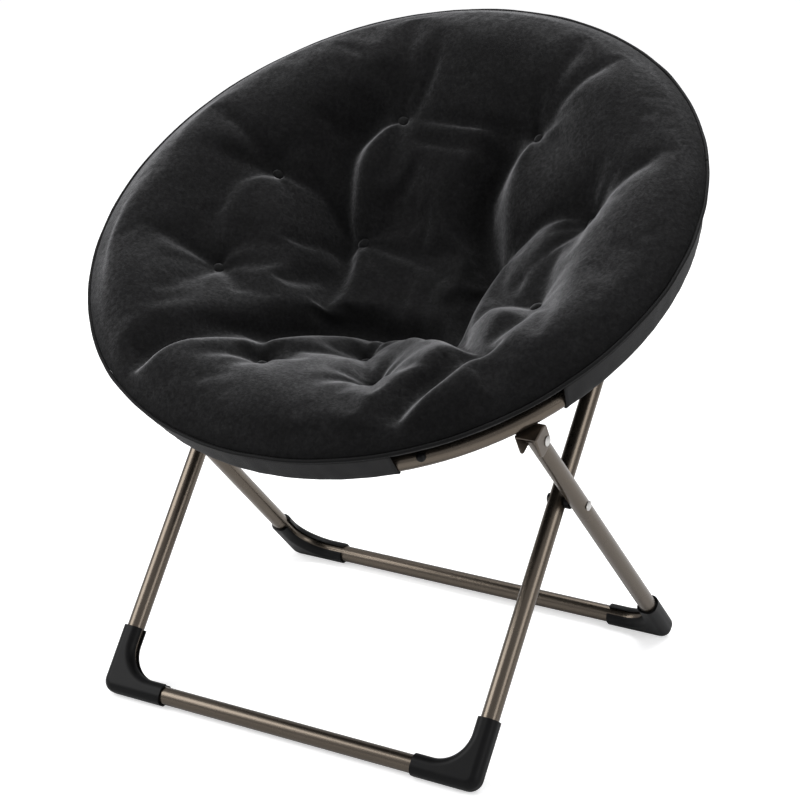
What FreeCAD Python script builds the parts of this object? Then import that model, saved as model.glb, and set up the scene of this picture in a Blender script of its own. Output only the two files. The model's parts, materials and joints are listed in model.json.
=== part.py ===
"""Folding saucer chair: two crossed U frames carry a round hoop that is hinged at its two sides.

Row frame: +X to the sitter's left, the chair faces -Y, +Z up, in millimetres. The origin is on
the floor under the middle of the chair.
"""

import FreeCAD
import Part
import Sketcher
import math
import os

from FreeCAD import Placement, Rotation, Vector

os.makedirs("parts", exist_ok=True)
doc = FreeCAD.newDocument("FoldingSaucerChair")

# Driving dimensions, in millimetres and degrees.
DIMENSIONS = [
    ("tube_diameter", 23, "outside of every steel tube"),
    ("tube_wall", 1.2, "wall of every steel tube"),
    ("front_frame_lower", 358.5, "front-foot frame, foot bar to scissor pivot"),
    ("front_frame_upper", 483.7, "front-foot frame, scissor pivot to rear bracket pivot"),
    ("rear_frame_lower", 388.6, "rear-foot frame, foot bar to scissor pivot"),
    ("rear_frame_upper", 175.7, "rear-foot frame, scissor pivot to front bracket pivot"),
    ("opening_angle", 83, "angle between the two frames when the chair is open"),
    ("front_frame_half_width", 262, "middle of the chair to the front-foot frame's legs"),
    ("frame_gap", 7, "gap between the legs of the two frames"),
    ("leg_bend_radius", 55, "bend of each frame at the foot, on the centreline"),
    ("leg_end_margin", 13, "tube beyond the bracket pivot"),
    ("hoop_radius", 375, "hoop tube, on the centreline"),
    ("hoop_drop", 42, "rim of the seat down to the hoop tube"),
    ("bracket_drop", 35, "hoop tube down to the leg bracket pivots"),
    ("front_bracket_setback", 242, "rim centre forward to the front bracket pivot"),
    ("hinge_drop", 24, "hoop tube down to the hinge pin"),
    ("hinge_gap", 0.6, "gap between the two halves of the hoop and of the seat"),
    ("sheet_metal", 2.2, "pressed steel of brackets and hinges"),
    ("bracket_length", 30, "leg bracket, along the rim"),
    ("bracket_edge", 9.5, "bracket pivot to the bracket's near end"),
    ("bracket_lobe", 11.5, "bracket pivot to the bracket's lower edge"),
    ("bracket_corner", 8, "corner radius of the bracket's ears"),
    ("bracket_side_gap", 0.5, "leg tube to each ear of its bracket"),
    ("hinge_length", 28, "hinge yoke and tongue, from the pin back along the tube"),
    ("hinge_lobe", 8, "radius of the hinge's ears about the pin"),
    ("hinge_width", 24, "outside of the hinge yoke"),
    ("fit_gap", 0.3, "clearance between parts that lie against each other"),
    ("running_gap", 0.05, "radial clearance of a rivet in its hole"),
    ("rivet_diameter", 6, "rivet shafts"),
    ("rivet_head_diameter", 12.6, "rivet heads"),
    ("rivet_head_height", 2.4, "crown of the rivet heads"),
    ("spacer_diameter", 18, "plastic spacer between the frames"),
    ("cap_wall", 2.2, "plastic of the foot caps"),
    ("cap_leg_length", 75, "foot cap, up the leg from the corner of the centrelines"),
    ("cap_bar_length", 77, "foot cap, along the foot bar"),
    ("cap_corner_radius", 17, "outer corner of the foot caps"),
    ("cap_edge_radius", 11.5, "rounding along the foot caps"),
    ("cap_slot", 9.5, "slot along the inside of the foot caps"),
    ("rim_radius", 400, "piping round the seat"),
    ("piping_diameter", 5, "piping cord under its fabric"),
    ("seat_depth", 148, "rim down to the middle of the seat"),
    ("shell_depth", 222, "rim down to the lowest point of the back cover"),
    ("bolster_crown", 17, "padded edge above the rim"),
    ("edge_rise", 12, "seat and right bolster, their swell at the edge that stands over the next panel"),
    ("edge_drop", 30, "seat and right bolster, fall beyond that edge"),
    ("edge_width", 40, "seat and right bolster, width of that fall"),
    ("cover_thickness", 1.2, "fabric of the back cover"),
    ("sleeve_thickness", 1.5, "fabric of the sleeves round the hoop tube"),
    ("sleeve_front_angle", 26, "half of the front sleeve's arc"),
    ("sleeve_side_angle", 33, "side sleeve's start, forward of the chair's side"),
    ("sleeve_notch", 16, "tube left bare beside each rear bracket"),
    ("sleeve_hinge_notch", 0.5, "gap between sleeves where the hoop folds"),
    ("clip_angle", 59.5, "hem clip, forward of the chair's side"),
    ("clip_seat_angle", 48, "hem clip, round the tube from its outermost line"),
    ("clip_width", 12, "hem clip, diameter of its dome"),
    ("button_diameter", 18, "tuft buttons"),
    ("button_height", 5, "tuft buttons"),
    ("tuft_radius", 42, "ball that shapes the hollow round each tuft button"),
    ("tuft_depth", 18, "hollow round each tuft button"),
    ("sole_length", 200, "block that cuts the flat soles"),
]

sheet = doc.addObject("Spreadsheet::Sheet", "Sizes")
for row, (alias, value, meaning) in enumerate(DIMENSIONS, start=1):
    sheet.set(f"A{row}", meaning)
    sheet.set(f"B{row}", str(value))
    sheet.setAlias(f"B{row}", alias)
doc.recompute()


def size(alias):
    """A driving dimension, read from the sheet."""
    return float(sheet.get(alias))


def worked(expression):
    """What an expression of the sheet's cells comes to."""
    return float(sheet.evalExpression(expression))


# Clearances and outlines that several pieces share, as expressions of the sheet's cells.
TUBE_RADIUS = "Sizes.tube_diameter / 2"
TUBE_BORE = "Sizes.tube_diameter / 2 - Sizes.tube_wall"
RIVET_RADIUS = "Sizes.rivet_diameter / 2"
RIVET_HOLE = "Sizes.rivet_diameter / 2 + Sizes.running_gap"
REAR_HALF_WIDTH = "(Sizes.front_frame_half_width + Sizes.tube_diameter + Sizes.frame_gap)"
CAP_OUTSIDE = "(Sizes.tube_diameter / 2 + Sizes.fit_gap + Sizes.cap_wall)"
CAP_BORE = "Sizes.tube_diameter / 2 + Sizes.fit_gap"
WEB_TOP = "(Sizes.bracket_drop - Sizes.tube_diameter / 2 - 0.1 * Sizes.sheet_metal)"
EAR_INSIDE = "(Sizes.tube_diameter / 2 + Sizes.bracket_side_gap)"
EAR_OUTSIDE = "(Sizes.tube_diameter / 2 + Sizes.bracket_side_gap + Sizes.sheet_metal)"


# The linkage, in the side view: y to the rear, z up.
def linkage():
    """Where the pivots lie with the chair open, and how the frames and the rim lean."""
    lower_a = size("front_frame_lower")
    lower_b = size("rear_frame_lower")
    opening = math.radians(size("opening_angle"))
    stance = math.sqrt(lower_a**2 + lower_b**2 - 2 * lower_a * lower_b * math.cos(opening))
    lean_a = math.acos((lower_a**2 + stance**2 - lower_b**2) / (2 * lower_a * stance))
    lean_b = math.pi - opening - lean_a
    foot_height = worked(CAP_OUTSIDE)
    scissor = Vector(0, 0, foot_height + lower_a * math.sin(lean_a))
    up_a = Vector(0, math.cos(lean_a), math.sin(lean_a))
    up_b = Vector(0, -math.cos(lean_b), math.sin(lean_b))
    pivot_a = scissor + up_a * size("front_frame_upper")
    pivot_b = scissor + up_b * size("rear_frame_upper")
    span = pivot_a - pivot_b
    tilt = math.atan2(span.z, span.y)
    along = Vector(0, math.cos(tilt), math.sin(tilt))
    above = Vector(0, -math.sin(tilt), math.cos(tilt))
    drop = size("hoop_drop") + size("bracket_drop")
    centre = pivot_b + along * size("front_bracket_setback") + above * drop
    front_reach = size("rim_radius") * math.cos(tilt) + size("piping_diameter") / 2
    sleeve = size("tube_diameter") / 2 + size("fit_gap") + size("sleeve_thickness")
    rear_reach = size("hoop_radius") * math.cos(tilt) + size("hoop_drop") * math.sin(tilt) + sleeve
    shift = Vector(0, (front_reach - rear_reach) / 2 - centre.y, 0)
    return {
        "lean_a": math.degrees(lean_a),
        "lean_b": math.degrees(lean_b),
        "tilt": math.degrees(tilt),
        "scissor": scissor + shift,
        "pivot_a": pivot_a + shift,
        "pivot_b": pivot_b + shift,
        "rim": centre + shift,
        "along": along,
        "above": above,
    }


LINK = linkage()
RIM_FRAME = Placement(LINK["rim"], Rotation(Vector(1, 0, 0), LINK["tilt"]))
FRONT_FRAME = Placement(LINK["scissor"], Rotation(Vector(1, 0, 0), LINK["lean_a"] - 90))
REAR_FRAME = Placement(LINK["scissor"], Rotation(Vector(1, 0, 0), 90 - LINK["lean_b"]))


def on_rim(x, s, h):
    """A placement in the rim's own frame: s runs up to the rear along the rim, h stands off it."""
    return RIM_FRAME * Placement(Vector(x, s, h), Rotation())


def rim_coordinates(point):
    """A row-frame point as (s, h) in the rim's own frame."""
    offset = point - LINK["rim"]
    return offset.dot(LINK["along"]), offset.dot(LINK["above"])


def flat_fold_hinge():
    """How far behind the rim's centre the hoop is hinged, so that hoop and frames fold flat.

    Folded flat, the scissor pivot, both bracket pivots and the hinge lie on one line. That holds
    where the hinge is further from the front pivot than from the rear one by just as much as the
    front-foot frame reaches further past the scissor than the rear-foot frame does.
    """
    front_s, pivot_h = rim_coordinates(LINK["pivot_b"])
    rear_s = rim_coordinates(LINK["pivot_a"])[0]
    hinge_h = -size("hoop_drop") - size("hinge_drop")
    wanted = size("front_frame_upper") - size("rear_frame_upper")
    low, high = front_s, rear_s
    for _ in range(50):
        middle = (low + high) / 2
        to_front = math.hypot(middle - front_s, hinge_h - pivot_h)
        to_rear = math.hypot(rear_s - middle, hinge_h - pivot_h)
        if to_front - to_rear < wanted:
            low = middle
        else:
            high = middle
    return (low + high) / 2


HINGE_S = flat_fold_hinge()
HINGE_H = -size("hoop_drop") - size("hinge_drop")
HINGE_ANGLE = math.degrees(math.asin(HINGE_S / size("hoop_radius")))
HINGE_X = size("hoop_radius") * math.cos(math.radians(HINGE_ANGLE))
REAR_BRACKET_S = rim_coordinates(LINK["pivot_a"])[0]
PIVOT_H = -size("hoop_drop") - size("bracket_drop")
SIDES = (("right", -1), ("left", 1))


# Ways of building that several pieces share.
def new_body(label):
    body = doc.addObject("PartDesign::Body", label)
    body.Label = label
    return body


def origin_plane(body, role):
    return next(item for item in body.Origin.OriginFeatures if item.Role == role)


def new_sketch(body, name, role, offset=None):
    """A sketch on one of the body's origin planes, lifted off it by an expression if one is given."""
    sketch = body.newObject("Sketcher::SketchObject", name)
    sketch.AttachmentSupport = [(origin_plane(body, role), "")]
    sketch.MapMode = "FlatFace"
    if offset:
        sketch.setExpression("AttachmentOffset.Base.z", offset)
    doc.recompute()
    return sketch


def bind(sketch, constraint, expression):
    """Adds a constraint whose value is an expression of the sheet's cells."""
    index = sketch.addConstraint(constraint)
    sketch.setExpression(f"Constraints[{index}]", expression)


def bind_point(sketch, geometry, end, across, up):
    """Ties one end of a line to a place given by two expressions."""
    bind(sketch, Sketcher.Constraint("DistanceX", -1, 1, geometry, end, worked(across)), across)
    bind(sketch, Sketcher.Constraint("DistanceY", -1, 1, geometry, end, worked(up)), up)


def bound_circle(sketch, radius, across="0 * Sizes.tube_diameter", up="0 * Sizes.tube_diameter"):
    middle = Vector(worked(across), worked(up), 0)
    circle = sketch.addGeometry(Part.Circle(middle, Vector(0, 0, 1), worked(radius)), False)
    bind(sketch, Sketcher.Constraint("Radius", circle, worked(radius)), radius)
    bind_point(sketch, circle, 3, across, up)


def bound_outline(sketch, corners):
    """A closed outline of straight lines through corners given as pairs of expressions."""
    points = [Vector(worked(across), worked(up), 0) for across, up in corners]
    count = len(points)
    for index in range(count):
        line = Part.LineSegment(points[index], points[(index + 1) % count])
        sketch.addGeometry(line, False)
    for index in range(count):
        sketch.addConstraint(Sketcher.Constraint("Coincident", index, 2, (index + 1) % count, 1))
        bind_point(sketch, index, 1, *corners[index])


def pad(body, sketch, name, length, midplane=True, reverse=False):
    feature = body.newObject("PartDesign::Pad", name)
    feature.Profile = sketch
    feature.setExpression("Length", length)
    feature.Midplane = midplane
    feature.Reversed = reverse
    doc.recompute()
    return feature


def pocket(body, sketch, name, length, midplane=True):
    feature = body.newObject("PartDesign::Pocket", name)
    feature.Profile = sketch
    feature.setExpression("Length", length)
    feature.Midplane = midplane
    doc.recompute()
    return feature


def edges_where(feature, wanted):
    """Names of the feature's edges for which wanted(edge) holds."""
    return [f"Edge{i}" for i, edge in enumerate(feature.Shape.Edges, start=1) if wanted(edge)]


def fillet(body, feature, name, edge_names, radius):
    rounded = body.newObject("PartDesign::Fillet", name)
    rounded.Base = (feature, edge_names)
    rounded.setExpression("Radius", radius)
    doc.recompute()
    return rounded


def runs_along(edge, axis):
    """Whether a straight edge lies along an axis."""
    if not isinstance(edge.Curve, Part.Line):
        return False
    return abs(abs(edge.Curve.Direction.dot(axis)) - 1) < 1e-6


def primitive(kind, name, **expressions):
    """A Part primitive with its sizes bound to the sheet."""
    made = doc.addObject(kind, name)
    for prop, expression in expressions.items():
        made.setExpression(prop, expression)
    return made


def cut(label, base, tool, placement):
    made = doc.addObject("Part::Cut", label)
    made.Label = label
    made.Base = base
    made.Tool = tool
    made.Placement = placement
    return made


# Bent U frames, in a frame of their own: origin at the scissor pivot, legs along Z.
def leg_frame(label, half_width, lower, upper, placement):
    body = new_body(label)
    top = f"({upper} + Sizes.leg_end_margin)"
    bend = "Sizes.leg_bend_radius"
    path = new_sketch(body, f"{label}_centreline", "XZ_Plane")
    half, low, high, radius = (worked(text) for text in (half_width, lower, top, bend))
    left_bend = Part.Circle(Vector(-half + radius, -low + radius, 0), Vector(0, 0, 1), radius)
    right_bend = Part.Circle(Vector(half - radius, -low + radius, 0), Vector(0, 0, 1), radius)
    path.addGeometry(
        [
            Part.LineSegment(Vector(-half, high, 0), Vector(-half, -low + radius, 0)),
            Part.ArcOfCircle(left_bend, math.pi, 1.5 * math.pi),
            Part.LineSegment(Vector(-half + radius, -low, 0), Vector(half - radius, -low, 0)),
            Part.ArcOfCircle(right_bend, 1.5 * math.pi, 2 * math.pi),
            Part.LineSegment(Vector(half, -low + radius, 0), Vector(half, high, 0)),
        ],
        False,
    )
    for first in range(4):
        path.addConstraint(Sketcher.Constraint("Tangent", first, 2, first + 1, 1))
    path.addConstraint(Sketcher.Constraint("Vertical", 0))
    path.addConstraint(Sketcher.Constraint("Horizontal", 2))
    path.addConstraint(Sketcher.Constraint("Vertical", 4))
    bind(path, Sketcher.Constraint("Radius", 1, radius), bend)
    bind(path, Sketcher.Constraint("Radius", 3, radius), bend)
    bind_point(path, 0, 1, f"-1 * {half_width}", top)
    bind_point(path, 4, 2, half_width, top)
    bind(path, Sketcher.Constraint("DistanceY", -1, 1, 2, 1, -low), f"-1 * {lower}")
    section = new_sketch(body, f"{label}_section", "XY_Plane", top)
    bound_circle(section, TUBE_RADIUS, across=f"-1 * {half_width}")
    bound_circle(section, TUBE_BORE, across=f"-1 * {half_width}")
    tube = body.newObject("PartDesign::AdditivePipe", f"{label}_tube")
    tube.Profile = section
    tube.Spine = (path, [f"Edge{i}" for i in range(1, 6)])
    doc.recompute()
    holes = new_sketch(body, f"{label}_holes", "YZ_Plane")
    bound_circle(holes, RIVET_HOLE)
    bound_circle(holes, RIVET_HOLE, up=upper)
    pocket(body, holes, f"{label}_drilling", f"4 * {half_width}")
    body.Placement = placement
    return body


def foot_cap(label, half_width, lower, side, frame):
    """A moulded elbow over the bend of a frame: squared outside, open in a slot along its inside.

    It is drawn with the corner of the centrelines at the origin, the leg up Z and the bar along -X.
    """
    body = new_body(label)
    outline = new_sketch(body, f"{label}_outline", "XZ_Plane")
    leg_length = "Sizes.cap_leg_length"
    bar_length = "Sizes.cap_bar_length"
    bound_outline(
        outline,
        [
            (f"-1 * {bar_length}", f"-1 * {CAP_OUTSIDE}"),
            (CAP_OUTSIDE, f"-1 * {CAP_OUTSIDE}"),
            (CAP_OUTSIDE, leg_length),
            (f"-1 * {CAP_OUTSIDE}", leg_length),
            (f"-1 * {CAP_OUTSIDE}", CAP_OUTSIDE),
            (f"-1 * {bar_length}", CAP_OUTSIDE),
        ],
    )
    elbow = pad(body, outline, f"{label}_elbow", f"2 * {CAP_OUTSIDE}")
    outside = worked(CAP_OUTSIDE)

    def crossing(edge, x, z):
        middle = edge.CenterOfMass
        return runs_along(edge, Vector(0, 1, 0)) and math.hypot(middle.x - x, middle.z - z) < 1e-4

    inner = edges_where(elbow, lambda edge: crossing(edge, -outside, outside))
    inner_radius = f"Sizes.leg_bend_radius - {CAP_OUTSIDE}"
    bent = fillet(body, elbow, f"{label}_inner_bend", inner, inner_radius)
    outer = edges_where(bent, lambda edge: crossing(edge, outside, -outside))
    squared = fillet(body, bent, f"{label}_outer_corner", outer, "Sizes.cap_corner_radius")

    def along_side(edge):
        """The edges of the two flat sides, apart from the mouths."""
        box = edge.BoundBox
        flat = box.YLength < 1e-6 and abs(abs(box.Center.y) - outside) < 1e-4
        at_mouth = box.ZMin > worked(leg_length) - 1e-4 or box.XMax < -worked(bar_length) + 1e-4
        return flat and not at_mouth

    rounding = edges_where(squared, along_side)
    fillet(body, squared, f"{label}_rounding", rounding, "Sizes.cap_edge_radius")
    path = new_sketch(body, f"{label}_bore_path", "XZ_Plane")
    radius = size("leg_bend_radius")
    beyond = 5
    high = size("cap_leg_length") + beyond
    far = size("cap_bar_length") + beyond
    bend = Part.Circle(Vector(-radius, radius, 0), Vector(0, 0, 1), radius)
    path.addGeometry(
        [
            Part.LineSegment(Vector(-far, 0, 0), Vector(-radius, 0, 0)),
            Part.ArcOfCircle(bend, 1.5 * math.pi, 2 * math.pi),
            Part.LineSegment(Vector(0, radius, 0), Vector(0, high, 0)),
        ],
        False,
    )
    path.addConstraint(Sketcher.Constraint("Tangent", 0, 2, 1, 1))
    path.addConstraint(Sketcher.Constraint("Tangent", 1, 2, 2, 1))
    path.addConstraint(Sketcher.Constraint("Horizontal", 0))
    path.addConstraint(Sketcher.Constraint("Vertical", 2))
    bind(path, Sketcher.Constraint("Radius", 1, radius), "Sizes.leg_bend_radius")
    bind_point(path, 0, 1, f"-1 * {bar_length} - {beyond}", "0 * Sizes.cap_wall")
    bind_point(path, 2, 2, "0 * Sizes.cap_wall", f"{leg_length} + {beyond}")
    section = new_sketch(body, f"{label}_bore_section", "XY_Plane", f"{leg_length} + {beyond}")
    bound_circle(section, CAP_BORE)
    bore = body.newObject("PartDesign::SubtractivePipe", f"{label}_bore")
    bore.Profile = section
    bore.Spine = (path, ["Edge3", "Edge2", "Edge1"])
    doc.recompute()
    slot = new_sketch(body, f"{label}_slot_outline", "XZ_Plane")
    mouth = f"-1 * {bar_length} - {beyond}"
    bound_outline(
        slot,
        [
            (mouth, "0 * Sizes.cap_wall"),
            ("-1 * Sizes.leg_bend_radius", "0 * Sizes.cap_wall"),
            ("-0.3 * Sizes.leg_bend_radius", "0.3 * Sizes.leg_bend_radius"),
            ("0 * Sizes.cap_wall", "Sizes.leg_bend_radius"),
            ("0 * Sizes.cap_wall", f"{leg_length} + {beyond}"),
            (mouth, f"{leg_length} + {beyond}"),
        ],
    )
    pocket(body, slot, f"{label}_slot", "Sizes.cap_slot")
    turn = Rotation() if side > 0 else Rotation(Vector(0, 0, 1), 180)
    corner = Vector(side * worked(half_width), 0, -worked(lower))
    body.Placement = frame * Placement(corner, turn)
    sole = body.newObject("PartDesign::SubtractiveBox", f"{label}_sole")
    for prop in ("Length", "Width", "Height"):
        sole.setExpression(prop, "Sizes.sole_length")
    half = size("sole_length") / 2
    middle = body.Placement.Base
    floor_block = Placement(Vector(middle.x - half, middle.y - half, -2 * half), Rotation())
    sole.Placement = body.Placement.inverse() * floor_block
    doc.recompute()
    return body


def leg_bracket(label, placement, long_end):
    """A pressed channel under the hoop: its web lies against the tube, its ears hold a leg's top.

    The origin is the pivot. long_end is -1 where the channel runs on to the front, +1 to the rear.
    """
    body = new_body(label)
    near = f"{-long_end} * Sizes.bracket_edge"
    far = f"{long_end} * (Sizes.bracket_length - Sizes.bracket_edge)"
    low = "-1 * Sizes.bracket_lobe"
    side_view = new_sketch(body, f"{label}_side", "YZ_Plane")
    bound_outline(side_view, [(near, low), (far, low), (far, WEB_TOP), (near, WEB_TOP)])
    block = pad(body, side_view, f"{label}_block", f"2 * {EAR_OUTSIDE}")

    def ear_corner(edge):
        middle = edge.CenterOfMass
        at_web = middle.z > 0
        at_far_end = middle.y * long_end > 0
        return runs_along(edge, Vector(1, 0, 0)) and not (at_web and at_far_end)

    corners = edges_where(block, ear_corner)
    rounded = fillet(body, block, f"{label}_corners", corners, "Sizes.bracket_corner")

    def web_side(edge):
        middle = edge.CenterOfMass
        return runs_along(edge, Vector(0, 1, 0)) and middle.z > 0

    folds = edges_where(rounded, web_side)
    fillet(body, rounded, f"{label}_folds", folds, "Sizes.sheet_metal")
    inside = new_sketch(body, f"{label}_inside", "XZ_Plane")
    web_under = f"{WEB_TOP} - Sizes.sheet_metal"
    deep = "-2 * Sizes.bracket_lobe"
    left = f"-1 * {EAR_INSIDE}"
    bound_outline(inside, [(left, deep), (EAR_INSIDE, deep), (EAR_INSIDE, web_under), (left, web_under)])
    pocket(body, inside, f"{label}_channel", "4 * Sizes.bracket_length")
    hole = new_sketch(body, f"{label}_hole", "YZ_Plane")
    bound_circle(hole, RIVET_HOLE)
    pocket(body, hole, f"{label}_drilling", f"4 * {EAR_OUTSIDE}")
    body.Placement = placement
    return body


def hinge_leaf(label, outside, direction, placement):
    """One leaf of a hoop hinge: a web under the end of its tube and two ears on the pin.

    The origin is the pin. direction is -1 for the leaf on the front half, +1 for the rear one.
    """
    body = new_body(label)
    web_top = "(Sizes.hinge_drop - Sizes.tube_diameter / 2 - 0.1 * Sizes.sheet_metal)"
    web_under = f"({web_top} - Sizes.sheet_metal)"
    near = f"{direction} * Sizes.hinge_gap / 2"
    far = f"{direction} * Sizes.hinge_length"
    side_view = new_sketch(body, f"{label}_side", "YZ_Plane")
    bound_outline(side_view, [(near, web_under), (far, web_under), (far, web_top), (near, web_top)])
    pad(body, side_view, f"{label}_web", outside)
    ears = new_sketch(body, f"{label}_ears", "YZ_Plane")
    lobe = "Sizes.hinge_lobe"
    bound_outline(
        ears,
        [
            (f"{-direction} * 0.4 * {lobe}", f"-0.9 * {lobe}"),
            (f"{direction} * 0.5 * {lobe}", f"-0.85 * {lobe}"),
            (far, web_under),
            (far, web_top),
            (near, web_top),
            (near, web_under),
            (f"{-direction} * 0.9 * {lobe}", f"0.4 * {lobe}"),
            (f"{-direction} * 0.95 * {lobe}", f"-0.3 * {lobe}"),
        ],
    )
    pad(body, ears, f"{label}_ear_pair", outside)
    inside = new_sketch(body, f"{label}_inside", "XZ_Plane")
    half = f"({outside} / 2 - Sizes.sheet_metal)"
    deep = "-3 * Sizes.hinge_lobe"
    left = f"-1 * {half}"
    bound_outline(inside, [(left, deep), (half, deep), (half, web_under), (left, web_under)])
    pocket(body, inside, f"{label}_channel", "6 * Sizes.hinge_length")
    hole = new_sketch(body, f"{label}_hole", "YZ_Plane")
    bound_circle(hole, RIVET_HOLE)
    pocket(body, hole, f"{label}_drilling", f"4 * {outside}")
    body.Placement = placement
    return body


def rivet(label, grip, placement, heads=2):
    """A rivet along X: a shaft of length grip from x = 0, with a crowned head at one or both ends."""
    body = new_body(label)
    half_view = new_sketch(body, f"{label}_half", "XY_Plane")
    head = "Sizes.rivet_head_diameter / 2"
    crown = "Sizes.rivet_head_height"
    edge = "0.3 * Sizes.rivet_head_height"
    neck = RIVET_RADIUS
    zero = "0 * Sizes.rivet_diameter"
    far_end = [(grip, neck), (grip, zero)]
    if heads == 2:
        far_end = [
            (grip, neck),
            (grip, head),
            (f"{grip} + {edge}", head),
            (f"{grip} + 0.75 * {crown}", f"0.7 * {head}"),
            (f"{grip} + {crown}", f"0.3 * {head}"),
            (f"{grip} + {crown}", zero),
        ]
    near_end = [
        (f"-1 * {crown}", zero),
        (f"-1 * {crown}", f"0.3 * {head}"),
        (f"-0.75 * {crown}", f"0.7 * {head}"),
        (f"-1 * {edge}", head),
        (zero, head),
        (zero, neck),
    ]
    bound_outline(half_view, near_end + far_end)
    turned = body.newObject("PartDesign::Revolution", f"{label}_turned")
    turned.Profile = half_view
    turned.ReferenceAxis = (half_view, ["H_Axis"])
    turned.Angle = 360
    doc.recompute()
    body.Placement = placement
    return body


def spacer(label, placement):
    outer = primitive("Part::Cylinder", f"{label}_disc", Radius="Sizes.spacer_diameter / 2",
                      Height="Sizes.frame_gap - 2 * Sizes.fit_gap")
    inner = primitive("Part::Cylinder", f"{label}_bore", Radius=RIVET_HOLE, Height="Sizes.frame_gap")
    return cut(label, outer, inner, placement)


def ring_part(label, start, end, ring, outside, inside, height):
    """A length of tube bent round the rim's axis, from one angle to another, at a height.

    The angles are in degrees, from 0 at +X to 90 at the rear.
    """
    outer = primitive("Part::Torus", f"{label}_outside", Radius1=ring, Radius2=outside)
    outer.Angle3 = end - start
    placement = RIM_FRAME * Placement(Vector(0, 0, height), Rotation(Vector(0, 0, 1), start))
    if inside is None:
        outer.Label = label
        outer.Placement = placement
        return outer
    inner = primitive("Part::Torus", f"{label}_inside", Radius1=ring, Radius2=inside)
    inner.Angle3 = end - start
    return cut(label, outer, inner, placement)


# The two crossed frames and what is on them.
FRONT_HALF = "Sizes.front_frame_half_width"
front_legs = [
    leg_frame("front_leg_frame", FRONT_HALF, "Sizes.front_frame_lower", "Sizes.front_frame_upper",
              FRONT_FRAME)
]
rear_legs = [
    leg_frame("rear_leg_frame", REAR_HALF_WIDTH, "Sizes.rear_frame_lower", "Sizes.rear_frame_upper",
              REAR_FRAME)
]
for name, side in SIDES:
    front_legs.append(foot_cap(f"front_foot_cap_{name}", FRONT_HALF, "Sizes.front_frame_lower",
                               side, FRONT_FRAME))
    rear_legs.append(foot_cap(f"rear_foot_cap_{name}", REAR_HALF_WIDTH, "Sizes.rear_frame_lower",
                              side, REAR_FRAME))

# Each scissor rivet is two halves that meet in the gap between the frames, one on each frame.
inner_face = size("front_frame_half_width") - size("tube_diameter") / 2 - size("fit_gap")
outer_face = worked(REAR_HALF_WIDTH) + size("tube_diameter") / 2 + size("fit_gap")
spacer_face = size("front_frame_half_width") + size("tube_diameter") / 2 + size("fit_gap")
for name, side in SIDES:
    turn = Rotation() if side > 0 else Rotation(Vector(0, 0, 1), 180)
    back = Rotation(Vector(0, 0, 1), 180) if side > 0 else Rotation()
    across = Rotation(Vector(0, 1, 0), 90 * side)
    inner_grip = "(Sizes.tube_diameter + Sizes.frame_gap)"
    outer_grip = "Sizes.tube_diameter"
    inner_at = Placement(Vector(side * inner_face, 0, 0), turn)
    outer_at = Placement(Vector(side * outer_face, 0, 0), back)
    spacer_at = Placement(Vector(side * spacer_face, 0, 0), across)
    front_legs.append(rivet(f"scissor_rivet_inner_{name}", inner_grip, FRONT_FRAME * inner_at, heads=1))
    front_legs.append(spacer(f"scissor_spacer_{name}", FRONT_FRAME * spacer_at))
    rear_legs.append(rivet(f"scissor_rivet_outer_{name}", outer_grip, REAR_FRAME * outer_at, heads=1))

# The hoop in two halves, with its hinges, its leg brackets and their rivets.
half_gap = math.degrees(size("hinge_gap") / 2 / size("hoop_radius"))
hoop_height = -size("hoop_drop")
hoop_front = [
    ring_part("hoop_front_tube", -180 - HINGE_ANGLE + half_gap, HINGE_ANGLE - half_gap,
              "Sizes.hoop_radius", TUBE_RADIUS, TUBE_BORE, hoop_height)
]
hoop_rear = [
    ring_part("hoop_rear_tube", HINGE_ANGLE + half_gap, 180 - HINGE_ANGLE - half_gap,
              "Sizes.hoop_radius", TUBE_RADIUS, TUBE_BORE, hoop_height)
]
ear_outside = worked(EAR_OUTSIDE)
bracket_grip = f"(2 * {EAR_OUTSIDE} + 2 * Sizes.fit_gap)"
hinge_grip = "(Sizes.hinge_width + 2 * Sizes.fit_gap)"
tongue_width = "(Sizes.hinge_width - 2 * Sizes.sheet_metal - 2 * Sizes.fit_gap)"
for name, side in SIDES:
    front_x = side * worked(REAR_HALF_WIDTH)
    rear_x = side * size("front_frame_half_width")
    hinge_x = side * HINGE_X
    reach = ear_outside + size("fit_gap")
    front_s = -size("front_bracket_setback")
    hoop_front.append(leg_bracket(f"front_bracket_{name}", on_rim(front_x, front_s, PIVOT_H), -1))
    hoop_front.append(rivet(f"front_bracket_rivet_{name}", bracket_grip,
                            on_rim(front_x - reach, front_s, PIVOT_H)))
    hoop_rear.append(leg_bracket(f"rear_bracket_{name}", on_rim(rear_x, REAR_BRACKET_S, PIVOT_H), 1))
    hoop_rear.append(rivet(f"rear_bracket_rivet_{name}", bracket_grip,
                           on_rim(rear_x - reach, REAR_BRACKET_S, PIVOT_H)))
    hoop_front.append(hinge_leaf(f"hinge_yoke_{name}", "Sizes.hinge_width", -1,
                                 on_rim(hinge_x, HINGE_S, HINGE_H)))
    hoop_rear.append(hinge_leaf(f"hinge_tongue_{name}", tongue_width, 1,
                                on_rim(hinge_x, HINGE_S, HINGE_H)))
    pin_x = hinge_x - size("hinge_width") / 2 - size("fit_gap")
    hoop_front.append(rivet(f"hinge_rivet_{name}", hinge_grip, on_rim(pin_x, HINGE_S, HINGE_H)))

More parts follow.
